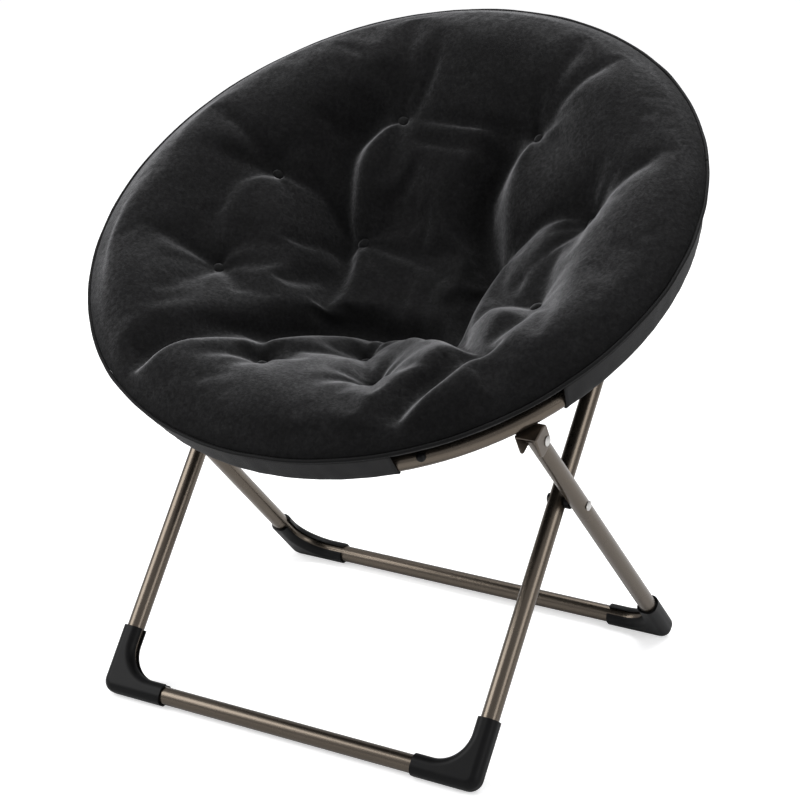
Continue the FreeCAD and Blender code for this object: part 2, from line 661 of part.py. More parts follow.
# Piping round the rim and fabric sleeves round the tube, parted where the hoop folds.
rim_hinge_angle = math.degrees(math.asin(HINGE_S / size("rim_radius")))
rim_gap = math.degrees(size("hinge_gap") / 2 / size("rim_radius"))
hoop_front.append(ring_part("piping_front", -180 - rim_hinge_angle + rim_gap, rim_hinge_angle - rim_gap,
                            "Sizes.rim_radius", "Sizes.piping_diameter / 2", None, 0))
hoop_rear.append(ring_part("piping_rear", rim_hinge_angle + rim_gap, 180 - rim_hinge_angle - rim_gap,
                           "Sizes.rim_radius", "Sizes.piping_diameter / 2", None, 0))
SLEEVE_INSIDE = "Sizes.tube_diameter / 2 + Sizes.fit_gap"
SLEEVE_OUTSIDE = "Sizes.tube_diameter / 2 + Sizes.fit_gap + Sizes.sleeve_thickness"


def sleeve(label, start, end):
    return ring_part(label, start, end, "Sizes.hoop_radius", SLEEVE_OUTSIDE, SLEEVE_INSIDE, hoop_height)


sleeve_gap = math.degrees(size("sleeve_hinge_notch") / size("hoop_radius"))
bracket_angle = math.degrees(math.asin(REAR_BRACKET_S / size("hoop_radius")))
notch = math.degrees(size("sleeve_notch") / size("hoop_radius"))
bracket_front = bracket_angle - notch
bracket_rear = bracket_angle + notch + math.degrees(size("bracket_length") / size("hoop_radius"))
front_half_arc = size("sleeve_front_angle")
side_start = -size("sleeve_side_angle")
hinge_end = HINGE_ANGLE - math.degrees(size("hinge_length") / size("hoop_radius"))
hoop_front.append(sleeve("sleeve_front", -90 - front_half_arc, -90 + front_half_arc))
hoop_rear.append(sleeve("sleeve_rear", bracket_rear, 180 - bracket_rear))
for name, side in SIDES:
    arc = (side_start, hinge_end - 2)
    if side < 0:
        arc = (180 - arc[1], 180 - arc[0])
    hoop_front.append(sleeve(f"sleeve_side_{name}", *arc))
    arc = (2 * HINGE_ANGLE - hinge_end + 2, bracket_front)
    if side < 0:
        arc = (180 - arc[1], 180 - arc[0])
    hoop_rear.append(sleeve(f"sleeve_shoulder_{name}", *arc))

# Hem clips: domed studs that hold the skirt of the cover to the bare front of the tube.
for name, side in SIDES:
    label = f"hem_clip_{name}"
    ball = primitive("Part::Sphere", f"{label}_ball", Radius="Sizes.clip_width / 2")
    seat = math.radians(size("clip_seat_angle"))
    reach = worked(TUBE_RADIUS)
    ball.Placement.Base = Vector(
        size("hoop_radius") + reach * math.cos(seat), 0, hoop_height + reach * math.sin(seat)
    )
    bore = primitive("Part::Torus", f"{label}_bore", Radius1="Sizes.hoop_radius", Radius2=CAP_BORE)
    bore.Placement.Base = Vector(0, 0, hoop_height)
    middle = -size("clip_angle") if side > 0 else -180 + size("clip_angle")
    placement = RIM_FRAME * Placement(Vector(0, 0, 0), Rotation(Vector(0, 0, 1), middle))
    hoop_front.append(cut(label, ball, bore, placement))


# The padded seat and its back cover, as sections in the rim's frame: out from its axis, and up.
TOP_LINE = [
    ("0 * Sizes.rim_radius", "-1 * Sizes.seat_depth"),
    ("0.28 * Sizes.rim_radius", "-0.757 * Sizes.seat_depth"),
    ("0.555 * Sizes.rim_radius", "-0.284 * Sizes.seat_depth"),
    ("0.917 * Sizes.rim_radius", "Sizes.bolster_crown"),
    ("Sizes.rim_radius - Sizes.piping_diameter / 2 - Sizes.fit_gap", "0.4 * Sizes.piping_diameter / 2"),
]
ON_AXIS = "on axis"
TOP_BENDS = [ON_AXIS, None, "-1.15 * Sizes.rim_radius", "-0.06 * Sizes.rim_radius"]
ON_TUBE = (
    "(Sizes.tube_diameter / 2 + 3 * Sizes.fit_gap + Sizes.sleeve_thickness"
    " + Sizes.cover_thickness - Sizes.hoop_drop)"
)
UNDER_LINE = [
    ("Sizes.rim_radius - Sizes.piping_diameter / 2 - Sizes.fit_gap", "-0.4 * Sizes.piping_diameter / 2"),
    ("Sizes.hoop_radius", ON_TUBE),
    ("Sizes.hoop_radius - 0.0475 * Sizes.rim_radius", f"{ON_TUBE} - 0.009 * Sizes.rim_radius"),
    ("Sizes.hoop_radius - 0.0775 * Sizes.rim_radius", "-0.207 * Sizes.shell_depth"),
    ("0 * Sizes.rim_radius", "-0.993 * Sizes.shell_depth"),
]
UNDER_BENDS = ["-0.1 * Sizes.rim_radius", None, None, ON_AXIS]


def bend_centre(start, end, bend):
    """The middle of an arc under a half circle, on the rim's axis or at the radius given.

    A negative radius bends to the right.
    """
    chord = end - start
    if bend == ON_AXIS:
        return Vector(0, (end.Length**2 - start.Length**2) / (2 * chord.y), 0)
    radius = worked(f"{bend}")
    to_left = Vector(-chord.y, chord.x, 0) / chord.Length
    height = math.sqrt(radius**2 - (chord.Length / 2) ** 2)
    return (start + end) / 2 + to_left * (height if radius > 0 else -height)


def bends_right(start, end, centre):
    return (end - start).cross(centre - start).z < 0


def bound_profile(sketch, corners, bends):
    """A closed outline whose sides are straight, or arcs about the centres that bend_centre gives."""
    points = [Vector(worked(across), worked(up), 0) for across, up in corners]
    count = len(points)
    for index in range(count):
        following = (index + 1) % count
        start, end = points[index], points[following]
        first_end, second_end = 1, 2
        if bends[index] is None:
            side = sketch.addGeometry(Part.LineSegment(start, end), False)
        else:
            centre = bend_centre(start, end, bends[index])
            if bends_right(start, end, centre):
                start, end = end, start
                first_end, second_end = 2, 1
            angles = [math.atan2(at.y - centre.y, at.x - centre.x) for at in (start, end)]
            circle = Part.Circle(centre, Vector(0, 0, 1), (start - centre).Length)
            side = sketch.addGeometry(Part.ArcOfCircle(circle, *angles), False)
            if bends[index] == ON_AXIS:
                sketch.addConstraint(Sketcher.Constraint("PointOnObject", side, 3, -2))
            else:
                radius = f"abs({bends[index]})"
                bind(sketch, Sketcher.Constraint("Radius", side, worked(radius)), radius)
        bind_point(sketch, side, first_end, *corners[index])
        bind_point(sketch, side, second_end, *corners[following])


def parted(body, label, rear):
    """Leaves the part of a body that lies on one side of the hoop's hinge line."""
    outline = new_sketch(body, f"{label}_parting", "XY_Plane")
    wide = "2 * Sizes.rim_radius"
    cut_to = f"{HINGE_S}"
    if rear:
        near, far = f"{cut_to} + Sizes.hinge_gap / 2", f"-1 * {wide}"
    else:
        near, far = f"{cut_to} - Sizes.hinge_gap / 2", wide
    bound_outline(outline, [(f"-1 * {wide}", near), (wide, near), (wide, far), (f"-1 * {wide}", far)])
    pocket(body, outline, f"{label}_half", "4 * Sizes.rim_radius")


def turned_half(label, corners, bends, rear):
    """A section turned round the rim's axis and parted at the hinge line."""
    body = new_body(label)
    section = new_sketch(body, f"{label}_section", "XZ_Plane")
    bound_profile(section, corners, bends)
    turned = body.newObject("PartDesign::Revolution", f"{label}_turned")
    turned.Profile = section
    turned.ReferenceAxis = (section, ["V_Axis"])
    turned.Angle = 360
    doc.recompute()
    parted(body, label, rear)
    body.Placement = RIM_FRAME
    return body


def height_at(radius):
    """Height of the seat's top line at a distance from the rim's axis."""
    points = [Vector(worked(across), worked(up), 0) for across, up in TOP_LINE]
    for index, bend in enumerate(TOP_BENDS):
        start, end = points[index], points[index + 1]
        if not start.x <= radius <= end.x:
            continue
        if bend is None:
            return start.y + (end.y - start.y) * (radius - start.x) / (end.x - start.x)
        centre = bend_centre(start, end, bend)
        rise = math.sqrt((start - centre).Length ** 2 - (radius - centre.x) ** 2)
        return centre.y + rise if bends_right(start, end, centre) else centre.y - rise
    raise ValueError("outside the seat")


# The seat's padded panels, as parts of the rim's radius: across and along the rim's frame, rise over
# the bowl, and how far each reaches.
PANELS = [
    (0, -0.725, 0.0175, 0.23), (-0.275, -0.725, 0.0125, 0.15), (0.325, -0.71, 0.0125, 0.14),
    (0, -0.5, 0.015, 0.1), (0, 0.325, 0.0225, 0.175), (0, 0.05, 0.02, 0.15),
    (-0.425, 0.05, 0.025, 0.15), (-0.41, 0.325, 0.0225, 0.125), (0.445, 0.05, 0.025, 0.125),
    (0.425, 0.34, 0.0275, 0.125), (-0.39, -0.2, 0.02, 0.125), (0.46, -0.275, 0.025, 0.1),
    (-0.725, 0, 0.0175, 0.15), (-0.66, -0.425, 0.0175, 0.15), (0, 0.75, 0.015, 0.225),
    (-0.5, 0.59, 0.015, 0.175), (0.5, 0.59, 0.0175, 0.175), (0.775, 0.15, 0.015, 0.15),
]
# Edges of panels that stand over the next, which lies to the left of the edge's run. Each point is
# across, along, and the share of the full drop there.
SEAT_EDGE = [
    (-0.478, -0.855, 0.2), (-0.392, -0.707, 0.7), (-0.31, -0.607, 0.85), (-0.207, -0.502, 0.95),
    (-0.132, -0.41, 1), (-0.05, -0.332, 1), (0.115, -0.317, 1), (0.255, -0.365, 0.9),
    (0.37, -0.445, 0.8), (0.475, -0.517, 0.6), (0.555, -0.575, 0.3),
]
BOLSTER_EDGE = [
    (0.482, -0.78, 0.3), (0.507, -0.707, 0.7), (0.595, -0.522, 0.95), (0.65, -0.405, 1),
    (0.702, -0.32, 1), (0.707, -0.24, 1), (0.685, -0.135, 1), (0.675, 0.01, 0.9),
    (0.665, 0.107, 0.75), (0.66, 0.187, 0.5), (0.645, 0.26, 0.2),
]


def eased(share):
    """0 to 1 with level ends, and level beyond them."""
    share = min(max(share, 0), 1)
    return share * share * (3 - 2 * share)


def past_edge(across, along, edge):
    """Signed distance beyond a panel's edge, and the share of the drop where it is nearest."""
    nearest = None
    for (x, s, share), (next_x, next_s, next_share) in zip(edge, edge[1:]):
        run_x, run_s = next_x - x, next_s - s
        along_run = ((across - x) * run_x + (along - s) * run_s) / (run_x**2 + run_s**2)
        along_run = min(max(along_run, 0), 1)
        off_x, off_s = across - x - along_run * run_x, along - s - along_run * run_s
        away = math.hypot(off_x, off_s)
        if nearest is None or away < abs(nearest[0]):
            side = 1 if run_x * off_s - run_s * off_x > 0 else -1
            nearest = (side * away, share + along_run * (next_share - share))
    return nearest


def seat_height(across, along):
    """Height of the padded seat's surface at a place in the rim's frame, before it is tufted."""
    rim = size("rim_radius")
    radius = math.hypot(across, along)
    edge_of_pads = 0.917 * rim
    level = height_at(min(radius, edge_of_pads - 0.02 * rim)) - 1.5 * size("fit_gap")
    x, s = across / rim, along / rim
    puff = 0
    for centre_x, centre_s, rise, reach in PANELS:
        puff += rise * math.exp(-((x - centre_x) ** 2 + (s - centre_s) ** 2) / reach**2)
    deepest = 0
    wide = size("edge_width") / rim
    for edge in (SEAT_EDGE, BOLSTER_EDGE):
        beyond, share = past_edge(x, s, edge)
        rise, drop = share * size("edge_rise") / rim, share * size("edge_drop") / rim
        if beyond < 0:
            puff += rise * math.exp(-((beyond / wide) ** 2))
        elif beyond < wide:
            step = rise - (rise + drop) * eased(beyond / wide)
            puff += max(step, 0)
            deepest = min(deepest, step)
        else:
            deepest = min(deepest, -drop * (1 - eased((beyond - wide) / (1.6 * wide))))
    return level + rim * (puff + deepest) * eased((edge_of_pads - radius) / (0.09 * rim))


def padded_surface():
    """The space over the padded seat: its one smooth surface, drawn up."""
    rim = size("rim_radius")
    steps = 48
    places = [(2 * index / steps - 1) * rim for index in range(steps + 1)]
    grid = [[Vector(x, s, seat_height(x, s)) for s in places] for x in places]
    smooth = Part.BSplineSurface()
    smooth.interpolate(grid)
    surface = doc.addObject("Part::Feature", "seat_surface")
    surface.Shape = smooth.toShape()
    space = doc.addObject("Part::Extrusion", "space_over_seat")
    space.Base = surface
    space.DirMode = "Custom"
    space.Dir = Vector(0, 0, 1)
    space.LengthFwd = rim
    space.Solid = True
    return space


def tuft_frame(across, along, depth):
    """A placement below the seat's surface at a tuft, its Z standing off the surface."""
    step = 4
    slope_x = (seat_height(across + step, along) - seat_height(across - step, along)) / (2 * step)
    slope_s = (seat_height(across, along + step) - seat_height(across, along - step)) / (2 * step)
    normal = Vector(-slope_x, -slope_s, 1).normalize()
    surface = Vector(across, along, seat_height(across, along))
    return Placement(surface - normal * depth, Rotation(Vector(0, 0, 1), normal))


# Tufts as parts of the rim's radius: to each side of the middle, and along the rim's frame.
SIDE_TUFTS = [(0.255, 0.5425), (0.58, 0.215), (0.57, -0.2225), (0.26, 0.1325), (0.1975, -0.58)]
MIDDLE_TUFTS = [(0.01, -0.3575)]


def tufts(rear):
    radius = size("rim_radius")
    places = [(side * x, s) for x, s in SIDE_TUFTS for _, side in SIDES] + MIDDLE_TUFTS
    return [(x * radius, s * radius) for x, s in places if (s * radius > HINGE_S) == rear]


SPACE_OVER_SEAT = padded_surface()


def cushion(label, rear):
    """A turned pad, its top taken down to the padded surface, with a hollow at each tuft."""
    pad_top = [TOP_LINE[-2], TOP_LINE[-1]]
    blank_line = [("0 * Sizes.rim_radius", "0.25 * Sizes.rim_radius")] + pad_top
    blank = turned_half(f"{label}_blank", blank_line + UNDER_LINE, [None, TOP_BENDS[-1], None] + UNDER_BENDS + [None],
                        rear)
    blank.Placement = Placement()
    hollows = [SPACE_OVER_SEAT]
    for number, (across, along) in enumerate(tufts(rear)):
        hollow = primitive("Part::Sphere", f"{label}_tuft_{number}", Radius="Sizes.tuft_radius")
        hollow.Placement = tuft_frame(across, along, size("tuft_depth") - size("tuft_radius"))
        hollows.append(hollow)
    removed = doc.addObject("Part::MultiFuse", f"{label}_removed")
    removed.Shapes = hollows
    return cut(label, blank, removed, RIM_FRAME)


def offset_underside(offset):
    """The cushion's underside moved outward: its corners and its bends, from rim to middle."""
    points = [Vector(worked(across), worked(up), 0) for across, up in UNDER_LINE]
    hem = 0.1
    centre = bend_centre(points[0], points[1], UNDER_BENDS[0])
    angles = [math.atan2(at.y - centre.y, at.x - centre.x) for at in points[:2]]
    angle = angles[0] * (1 - hem) + angles[1] * hem
    radius = (points[0] - centre).Length
    points[0] = centre + Vector(math.cos(angle), math.sin(angle), 0) * radius
    tangents = []
    for start, end, bend in zip(points, points[1:], UNDER_BENDS):
        if bend is None:
            tangents.append([(end - start).normalize()] * 2)
            continue
        centre = bend_centre(start, end, bend)
        spokes = [(at - centre).normalize() for at in (start, end)]
        tangents.append([Vector(spoke.y, -spoke.x, 0) for spoke in spokes])
    moved = []
    for index, point in enumerate(points):
        before = tangents[max(index - 1, 0)][1 if index else 0]
        after = tangents[min(index, len(tangents) - 1)][0 if index < len(tangents) else 1]
        mean = (before + after).normalize()
        moved.append(point + Vector(-mean.y, mean.x, 0) * (offset / mean.dot(before)))
    moved[-1].x = 0
    bends = [bend if bend in (None, ON_AXIS) else worked(bend) - offset for bend in UNDER_BENDS]
    return moved, bends


def cover(label, rear):
    """The back cover: a skin that follows the cushion's underside, hemmed just under the piping."""
    inner, inner_bends = offset_underside(size("fit_gap"))
    outer, outer_bends = offset_underside(size("fit_gap") + size("cover_thickness"))
    corners = [(f"{at.x:.6f}", f"{at.y:.6f}") for at in outer + inner[::-1]]
    back = [bend if bend in (None, ON_AXIS) else -bend for bend in inner_bends[::-1]]
    return turned_half(label, corners, outer_bends + [None] + back + [None], rear)


def buttons(label, rear):
    """Domed buttons at the bottoms of the tufts."""
    radius = size("button_diameter") / 2
    ball = (radius**2 + size("button_height") ** 2) / (2 * size("button_height"))
    ball_size = "((Sizes.button_diameter / 2) ^ 2 + Sizes.button_height ^ 2) / (2 * Sizes.button_height)"
    hollow = size("tuft_radius")
    seated = hollow - math.sqrt(hollow**2 - radius**2) + size("fit_gap")
    domes = []
    for number, (across, along) in enumerate(tufts(rear)):
        dome = primitive("Part::Sphere", f"{label}_{number}", Radius=ball_size)
        dome.Angle1 = math.degrees(math.asin((ball - size("button_height")) / ball))
        drop = size("tuft_depth") - seated + ball - size("button_height")
        dome.Placement = RIM_FRAME * tuft_frame(across, along, drop)
        domes.append(dome)
    made = doc.addObject("Part::MultiFuse", label)
    made.Label = label
    made.Shapes = domes
    return made


for group, name, rear in ((hoop_front, "front", False), (hoop_rear, "rear", True)):
    group.append(cushion(f"seat_cushion_{name}", rear))
    group.append(cover(f"back_cover_{name}", rear))
    group.append(buttons(f"tuft_buttons_{name}", rear))

doc.recompute()
NODES = front_legs + rear_legs + hoop_front + hoop_rear
for node in NODES:
    if "Invalid" in node.State or "Error" in node.State:
        raise RuntimeError(f"{node.Label} did not rebuild: {node.State}")
    if node.Shape.isNull() or not node.Shape.isValid():
        raise RuntimeError(f"{node.Label} has no valid shape")
for node in NODES:
    node.Shape.exportStep(f"parts/{node.Label}.step")
print(len(NODES), "nodes; hinge at", round(HINGE_S, 2), "tilt", round(LINK["tilt"], 2))
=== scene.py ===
# %% [markdown]
# Folding saucer chair, dressed.
#
# A round padded seat of black plush hangs in a tube hoop, carried by two crossed U-shaped frames.
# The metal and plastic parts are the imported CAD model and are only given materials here. The soft
# parts are built new around it: the tufted cushion, its piping, the woven back and the sleeves.

import json
import math

import bmesh
import bpy
import numpy as np
from mathutils import Matrix, Vector, noise


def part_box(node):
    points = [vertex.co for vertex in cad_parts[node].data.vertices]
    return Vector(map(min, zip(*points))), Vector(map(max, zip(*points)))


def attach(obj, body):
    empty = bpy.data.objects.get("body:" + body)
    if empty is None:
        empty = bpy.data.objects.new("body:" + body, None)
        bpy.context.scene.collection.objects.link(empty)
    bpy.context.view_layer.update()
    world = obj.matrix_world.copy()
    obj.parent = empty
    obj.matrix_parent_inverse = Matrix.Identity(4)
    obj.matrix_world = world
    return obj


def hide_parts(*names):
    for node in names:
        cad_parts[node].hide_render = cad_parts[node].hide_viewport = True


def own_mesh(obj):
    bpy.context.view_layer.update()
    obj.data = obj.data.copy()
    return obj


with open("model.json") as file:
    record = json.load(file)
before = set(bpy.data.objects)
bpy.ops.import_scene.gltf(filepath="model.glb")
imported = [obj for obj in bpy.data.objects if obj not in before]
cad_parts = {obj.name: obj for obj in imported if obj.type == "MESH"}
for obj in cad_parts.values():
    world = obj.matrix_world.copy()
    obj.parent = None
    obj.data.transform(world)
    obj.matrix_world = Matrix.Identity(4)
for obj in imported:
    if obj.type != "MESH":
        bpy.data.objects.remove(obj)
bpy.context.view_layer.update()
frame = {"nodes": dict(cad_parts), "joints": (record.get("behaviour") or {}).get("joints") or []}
MM = 0.001

# %% [markdown]
# The seat is easiest to build in its own frame, because nearly all of it is round about one axis.
# That frame lies in the plane of the piping: x across, s up the slope to the rear, and a height
# that stands off the plane towards the sitter. The two piping nodes give its middle and its tilt.

# %% The rim's own frame
PIPING_RADIUS = 2.5 * MM
RIM_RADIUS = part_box("piping_front")[1].x - PIPING_RADIUS
rim_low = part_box("piping_front")[0]
rim_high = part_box("piping_rear")[1]
rim_run = rim_high.y - rim_low.y - 2 * PIPING_RADIUS
rim_rise = rim_high.z - rim_low.z - 2 * PIPING_RADIUS
TILT = math.atan2(rim_rise, rim_run)
RIM_CENTRE = Vector((0, (rim_low.y + rim_high.y) / 2, (rim_low.z + rim_high.z) / 2))
ALONG = Vector((0, math.cos(TILT), math.sin(TILT)))
ABOVE = Vector((0, -math.sin(TILT), math.cos(TILT)))
RIM_MATRIX = Matrix.Translation(RIM_CENTRE) @ Matrix.Rotation(TILT, 4, "X")
print("rim radius", round(RIM_RADIUS, 4), "tilt", round(math.degrees(TILT), 2), "centre", RIM_CENTRE)

# %% The hoop tube and its fold line, in the rim's frame
hinge = next(joint for joint in frame["joints"] if joint["name"] == "hoop_hinge")
HINGE_S = (Vector(hinge["pos_m"]) - RIM_CENTRE).dot(ALONG)
HOOP_RADIUS = 375 * MM
HOOP_HEIGHT = -42 * MM
TUBE_RADIUS = 11.5 * MM
HINGE_ANGLE = math.asin(HINGE_S / HOOP_RADIUS)
print("hoop folds at s =", round(HINGE_S, 4), "angle", round(math.degrees(HINGE_ANGLE), 2))


def new_object(name, mesh):
    """An object for a mesh, in the scene."""
    made = bpy.data.objects.new(name, mesh)
    bpy.context.scene.collection.objects.link(made)
    return made


def mesh_from(name, points, faces):
    """A smooth-shaded mesh from points in the rim's frame, moved to the row frame."""
    mesh = bpy.data.meshes.new(name)
    mesh.from_pydata([tuple(point) for point in points], [], [tuple(face) for face in faces])
    mesh.transform(RIM_MATRIX)
    mesh.shade_smooth()
    mesh.update()
    return mesh


def face_outward(piece):
    """Turns all the faces of a closed piece outward."""
    mesh = bmesh.new()
    mesh.from_mesh(piece.data)
    bmesh.ops.recalc_face_normals(mesh, faces=mesh.faces)
    mesh.to_mesh(piece.data)
    mesh.free()


# %% [markdown]
# Each finish is procedural. A small node group makes speckle that several of them use: it turns one
# noise texture into a mask and a bump height, with the scale in features per metre.

# %% Node helpers
def nodes_of(material):
    """The material's node tree and its main shader."""
    material.use_nodes = True
    tree = material.node_tree
    return tree, tree.nodes["Principled BSDF"]


def add(tree, kind, values=(), **settings):
    """A node with some of its settings and input values filled in."""
    node = tree.nodes.new(kind)
    for name, value in settings.items():
        setattr(node, name, value)
    for name, value in dict(values).items():
        node.inputs[name].default_value = value
    return node


def speckle_group():
    """Fine grain over coarse mottling, as two masks: Grain and Mottle."""
    tree = bpy.data.node_groups.new("grain_and_mottle", "ShaderNodeTree")
    for name, value in (("Grain Scale", 800.0), ("Mottle Scale", 12.0), ("Mottle Contrast", 1.0)):
        socket = tree.interface.new_socket(name, in_out="INPUT", socket_type="NodeSocketFloat")
        socket.default_value = value
    for name in ("Grain", "Mottle"):
        tree.interface.new_socket(name, in_out="OUTPUT", socket_type="NodeSocketFloat")
    given = tree.nodes.new("NodeGroupInput")
    result = tree.nodes.new("NodeGroupOutput")
    place = tree.nodes.new("ShaderNodeTexCoord")
    grain = add(tree, "ShaderNodeTexNoise", {"Detail": 3.0, "Roughness": 0.6})
    mottle = add(tree, "ShaderNodeTexNoise", {"Detail": 5.0, "Roughness": 0.62, "Distortion": 0.6})
    middle = add(tree, "ShaderNodeMath", {1: 0.5}, operation="SUBTRACT")
    spread = add(tree, "ShaderNodeMath", operation="MULTIPLY")
    back = add(tree, "ShaderNodeMath", {1: 0.5}, operation="ADD", use_clamp=True)
    tree.links.new(place.outputs["Object"], grain.inputs["Vector"])
    tree.links.new(place.outputs["Object"], mottle.inputs["Vector"])
    tree.links.new(given.outputs["Grain Scale"], grain.inputs["Scale"])
    tree.links.new(given.outputs["Mottle Scale"], mottle.inputs["Scale"])
    tree.links.new(mottle.outputs["Fac"], middle.inputs[0])
    tree.links.new(middle.outputs[0], spread.inputs[0])
    tree.links.new(given.outputs["Mottle Contrast"], spread.inputs[1])
    tree.links.new(spread.outputs[0], back.inputs[0])
    tree.links.new(grain.outputs["Fac"], result.inputs["Grain"])
    tree.links.new(back.outputs[0], result.inputs["Mottle"])
    return tree


SPECKLE = speckle_group()


def place_speckle(tree, grain, mottle, contrast=1.0):
    node = tree.nodes.new("ShaderNodeGroup")
    node.node_tree = SPECKLE
    node.inputs["Grain Scale"].default_value = grain
    node.inputs["Mottle Scale"].default_value = mottle
    node.inputs["Mottle Contrast"].default_value = contrast
    return node


def ramp(tree, mask, low, high):
    """A colour between two, by a mask."""
    node = add(tree, "ShaderNodeMix", data_type="RGBA")
    node.inputs[6].default_value = (*low, 1)
    node.inputs[7].default_value = (*high, 1)
    tree.links.new(mask, node.inputs[0])
    return node.outputs[2]


def span(tree, mask, low, high, start=0.0, end=1.0):
    """A number that goes from low to high while the mask goes from start to end."""
    limits = {"From Min": start, "From Max": end, "To Min": low, "To Max": high}
    node = add(tree, "ShaderNodeMapRange", limits)
    tree.links.new(mask, node.inputs["Value"])
    return node.outputs["Result"]


def product(tree, first, second):
    """Two numbers multiplied."""
    node = add(tree, "ShaderNodeMath", operation="MULTIPLY")
    tree.links.new(first, node.inputs[0])
    tree.links.new(second, node.inputs[1])
    return node.outputs[0]


def distance_from(tree, place):
    """How far the shaded spot is from a place, in metres."""
    spot = tree.nodes.new("ShaderNodeTexCoord")
    node = add(tree, "ShaderNodeVectorMath", {1: place}, operation="DISTANCE")
    tree.links.new(spot.outputs["Object"], node.inputs[0])
    return node.outputs["Value"]


def bump(tree, height, strength, distance, before=None):
    """A normal that leans with a height, on top of another bump where one is given."""
    node = add(tree, "ShaderNodeBump", {"Strength": strength, "Distance": distance})
    tree.links.new(height, node.inputs["Height"])
    if before is not None:
        tree.links.new(before, node.inputs["Normal"])
    return node.outputs["Normal"]


print("node group:", SPECKLE.name)

# %% [markdown]
# The plush is a short, dense pile. Seen straight on it is nearly black, and seen along the surface
# the tips of the pile catch the light: that is what the sheen layer of the shader is for. Brushed
# patches, where the pile lies another way, come from coarse noise in the colour. In the deepest part
# of the seat, and in a narrow band at the piping, the sheen is turned down: this is painted shade,
# which darkens the bottom of the bowl and dims the bright edge along the rim.

# %% Plush
SEAT_BOTTOM = RIM_CENTRE + ALONG * -15 * MM + ABOVE * -135 * MM
# How far from the seat's bottom the painted shade in the bowl fades out, and how far from the rim's
# middle the painted shade along the edge sets in.
BOWL_SHADE_REACH = (70 * MM, 210 * MM)
RIM_SHADE_REACH = (380 * MM, 396 * MM)


def plush_material():
    material = bpy.data.materials.new("black_plush")
    tree, shader = nodes_of(material)
    fine = place_speckle(tree, 420.0, 190.0, 1.9)
    broad = place_speckle(tree, 1100.0, 15.0, 1.4)
    nap = product(tree, fine.outputs["Mottle"], broad.outputs["Mottle"])
    lean = add(tree, "ShaderNodeMath", operation="ADD", use_clamp=True)
    tree.links.new(span(tree, fine.outputs["Mottle"], 0.0, 0.62), lean.inputs[0])
    tree.links.new(span(tree, broad.outputs["Mottle"], 0.0, 0.38), lean.inputs[1])
    # Painted shade: the sheen is turned down in the bottom of the bowl and in a band along the rim's edge.
    bowl_shade = span(tree, distance_from(tree, SEAT_BOTTOM), 0.42, 1.0, *BOWL_SHADE_REACH)
    rim_shade = span(tree, distance_from(tree, RIM_CENTRE), 1.0, 0.35, *RIM_SHADE_REACH)
    painted_shade = product(tree, bowl_shade, rim_shade)
    sheen = product(tree, painted_shade, span(tree, lean.outputs[0], 0.42, 0.95))
    colour = ramp(tree, nap, (0.0022, 0.0022, 0.0023), (0.0075, 0.0075, 0.0077))
    tree.links.new(colour, shader.inputs["Base Color"])
    tree.links.new(span(tree, fine.outputs["Mottle"], 0.95, 0.75), shader.inputs["Roughness"])
    tree.links.new(sheen, shader.inputs["Sheen Weight"])
    tree.links.new(span(tree, lean.outputs[0], 0.27, 0.40), shader.inputs["Sheen Roughness"])
    pile = bump(tree, fine.outputs["Grain"], 0.35, 0.7 * MM)
    fibres = bump(tree, broad.outputs["Grain"], 0.25, 0.35 * MM, pile)
    tree.links.new(fibres, shader.inputs["Normal"])
    shader.inputs["Specular IOR Level"].default_value = 0.1
    shader.inputs["Sheen Tint"].default_value = (0.80, 0.80, 0.82, 1)
    return material


PLUSH = plush_material()
print("made", PLUSH.name)

# %% [markdown]
# The back and the sleeves are plain woven polyester: two sets of threads crossing at right angles.
# The weave is made of two wave textures on the object's own coordinates, so it needs no unwrapping.

# %% Woven back fabric and piping
def woven_group():
    """Crossing threads as a height and a mask, with the number of threads per metre."""
    tree = bpy.data.node_groups.new("crossing_threads", "ShaderNodeTree")
    socket = tree.interface.new_socket("Threads", in_out="INPUT", socket_type="NodeSocketFloat")
    socket.default_value = 200.0
    tree.interface.new_socket("Height", in_out="OUTPUT", socket_type="NodeSocketFloat")
    given = tree.nodes.new("NodeGroupInput")
    result = tree.nodes.new("NodeGroupOutput")
    place = tree.nodes.new("ShaderNodeTexCoord")
    waves = []
    for direction in ("X", "Y", "Z"):
        wave = add(tree, "ShaderNodeTexWave", {"Distortion": 1.2, "Detail": 1.0}, bands_direction=direction)
        tree.links.new(place.outputs["Object"], wave.inputs["Vector"])
        tree.links.new(given.outputs["Threads"], wave.inputs["Scale"])
        waves.append(wave)
    first = add(tree, "ShaderNodeMath", operation="MAXIMUM")
    second = add(tree, "ShaderNodeMath", operation="MAXIMUM")
    tree.links.new(waves[0].outputs["Fac"], first.inputs[0])
    tree.links.new(waves[1].outputs["Fac"], first.inputs[1])
    tree.links.new(first.outputs[0], second.inputs[0])
    tree.links.new(waves[2].outputs["Fac"], second.inputs[1])
    tree.links.new(second.outputs[0], result.inputs["Height"])
    return tree


WEAVE = woven_group()


def woven_material(name, dark, light, threads, roughness, sheen):
    material = bpy.data.materials.new(name)
    tree, shader = nodes_of(material)
    weave = tree.nodes.new("ShaderNodeGroup")
    weave.node_tree = WEAVE
    weave.inputs["Threads"].default_value = threads
    dust = place_speckle(tree, 500.0, 14.0, 1.5)
    mask = product(tree, weave.outputs["Height"], dust.outputs["Mottle"])
    tree.links.new(ramp(tree, mask, dark, light), shader.inputs["Base Color"])
    tree.links.new(bump(tree, weave.outputs["Height"], 0.35, 0.3 * MM), shader.inputs["Normal"])
    shader.inputs["Roughness"].default_value = roughness
    shader.inputs["Specular IOR Level"].default_value = 0.11
    shader.inputs["Sheen Weight"].default_value = sheen
    shader.inputs["Sheen Roughness"].default_value = 0.5
    return material


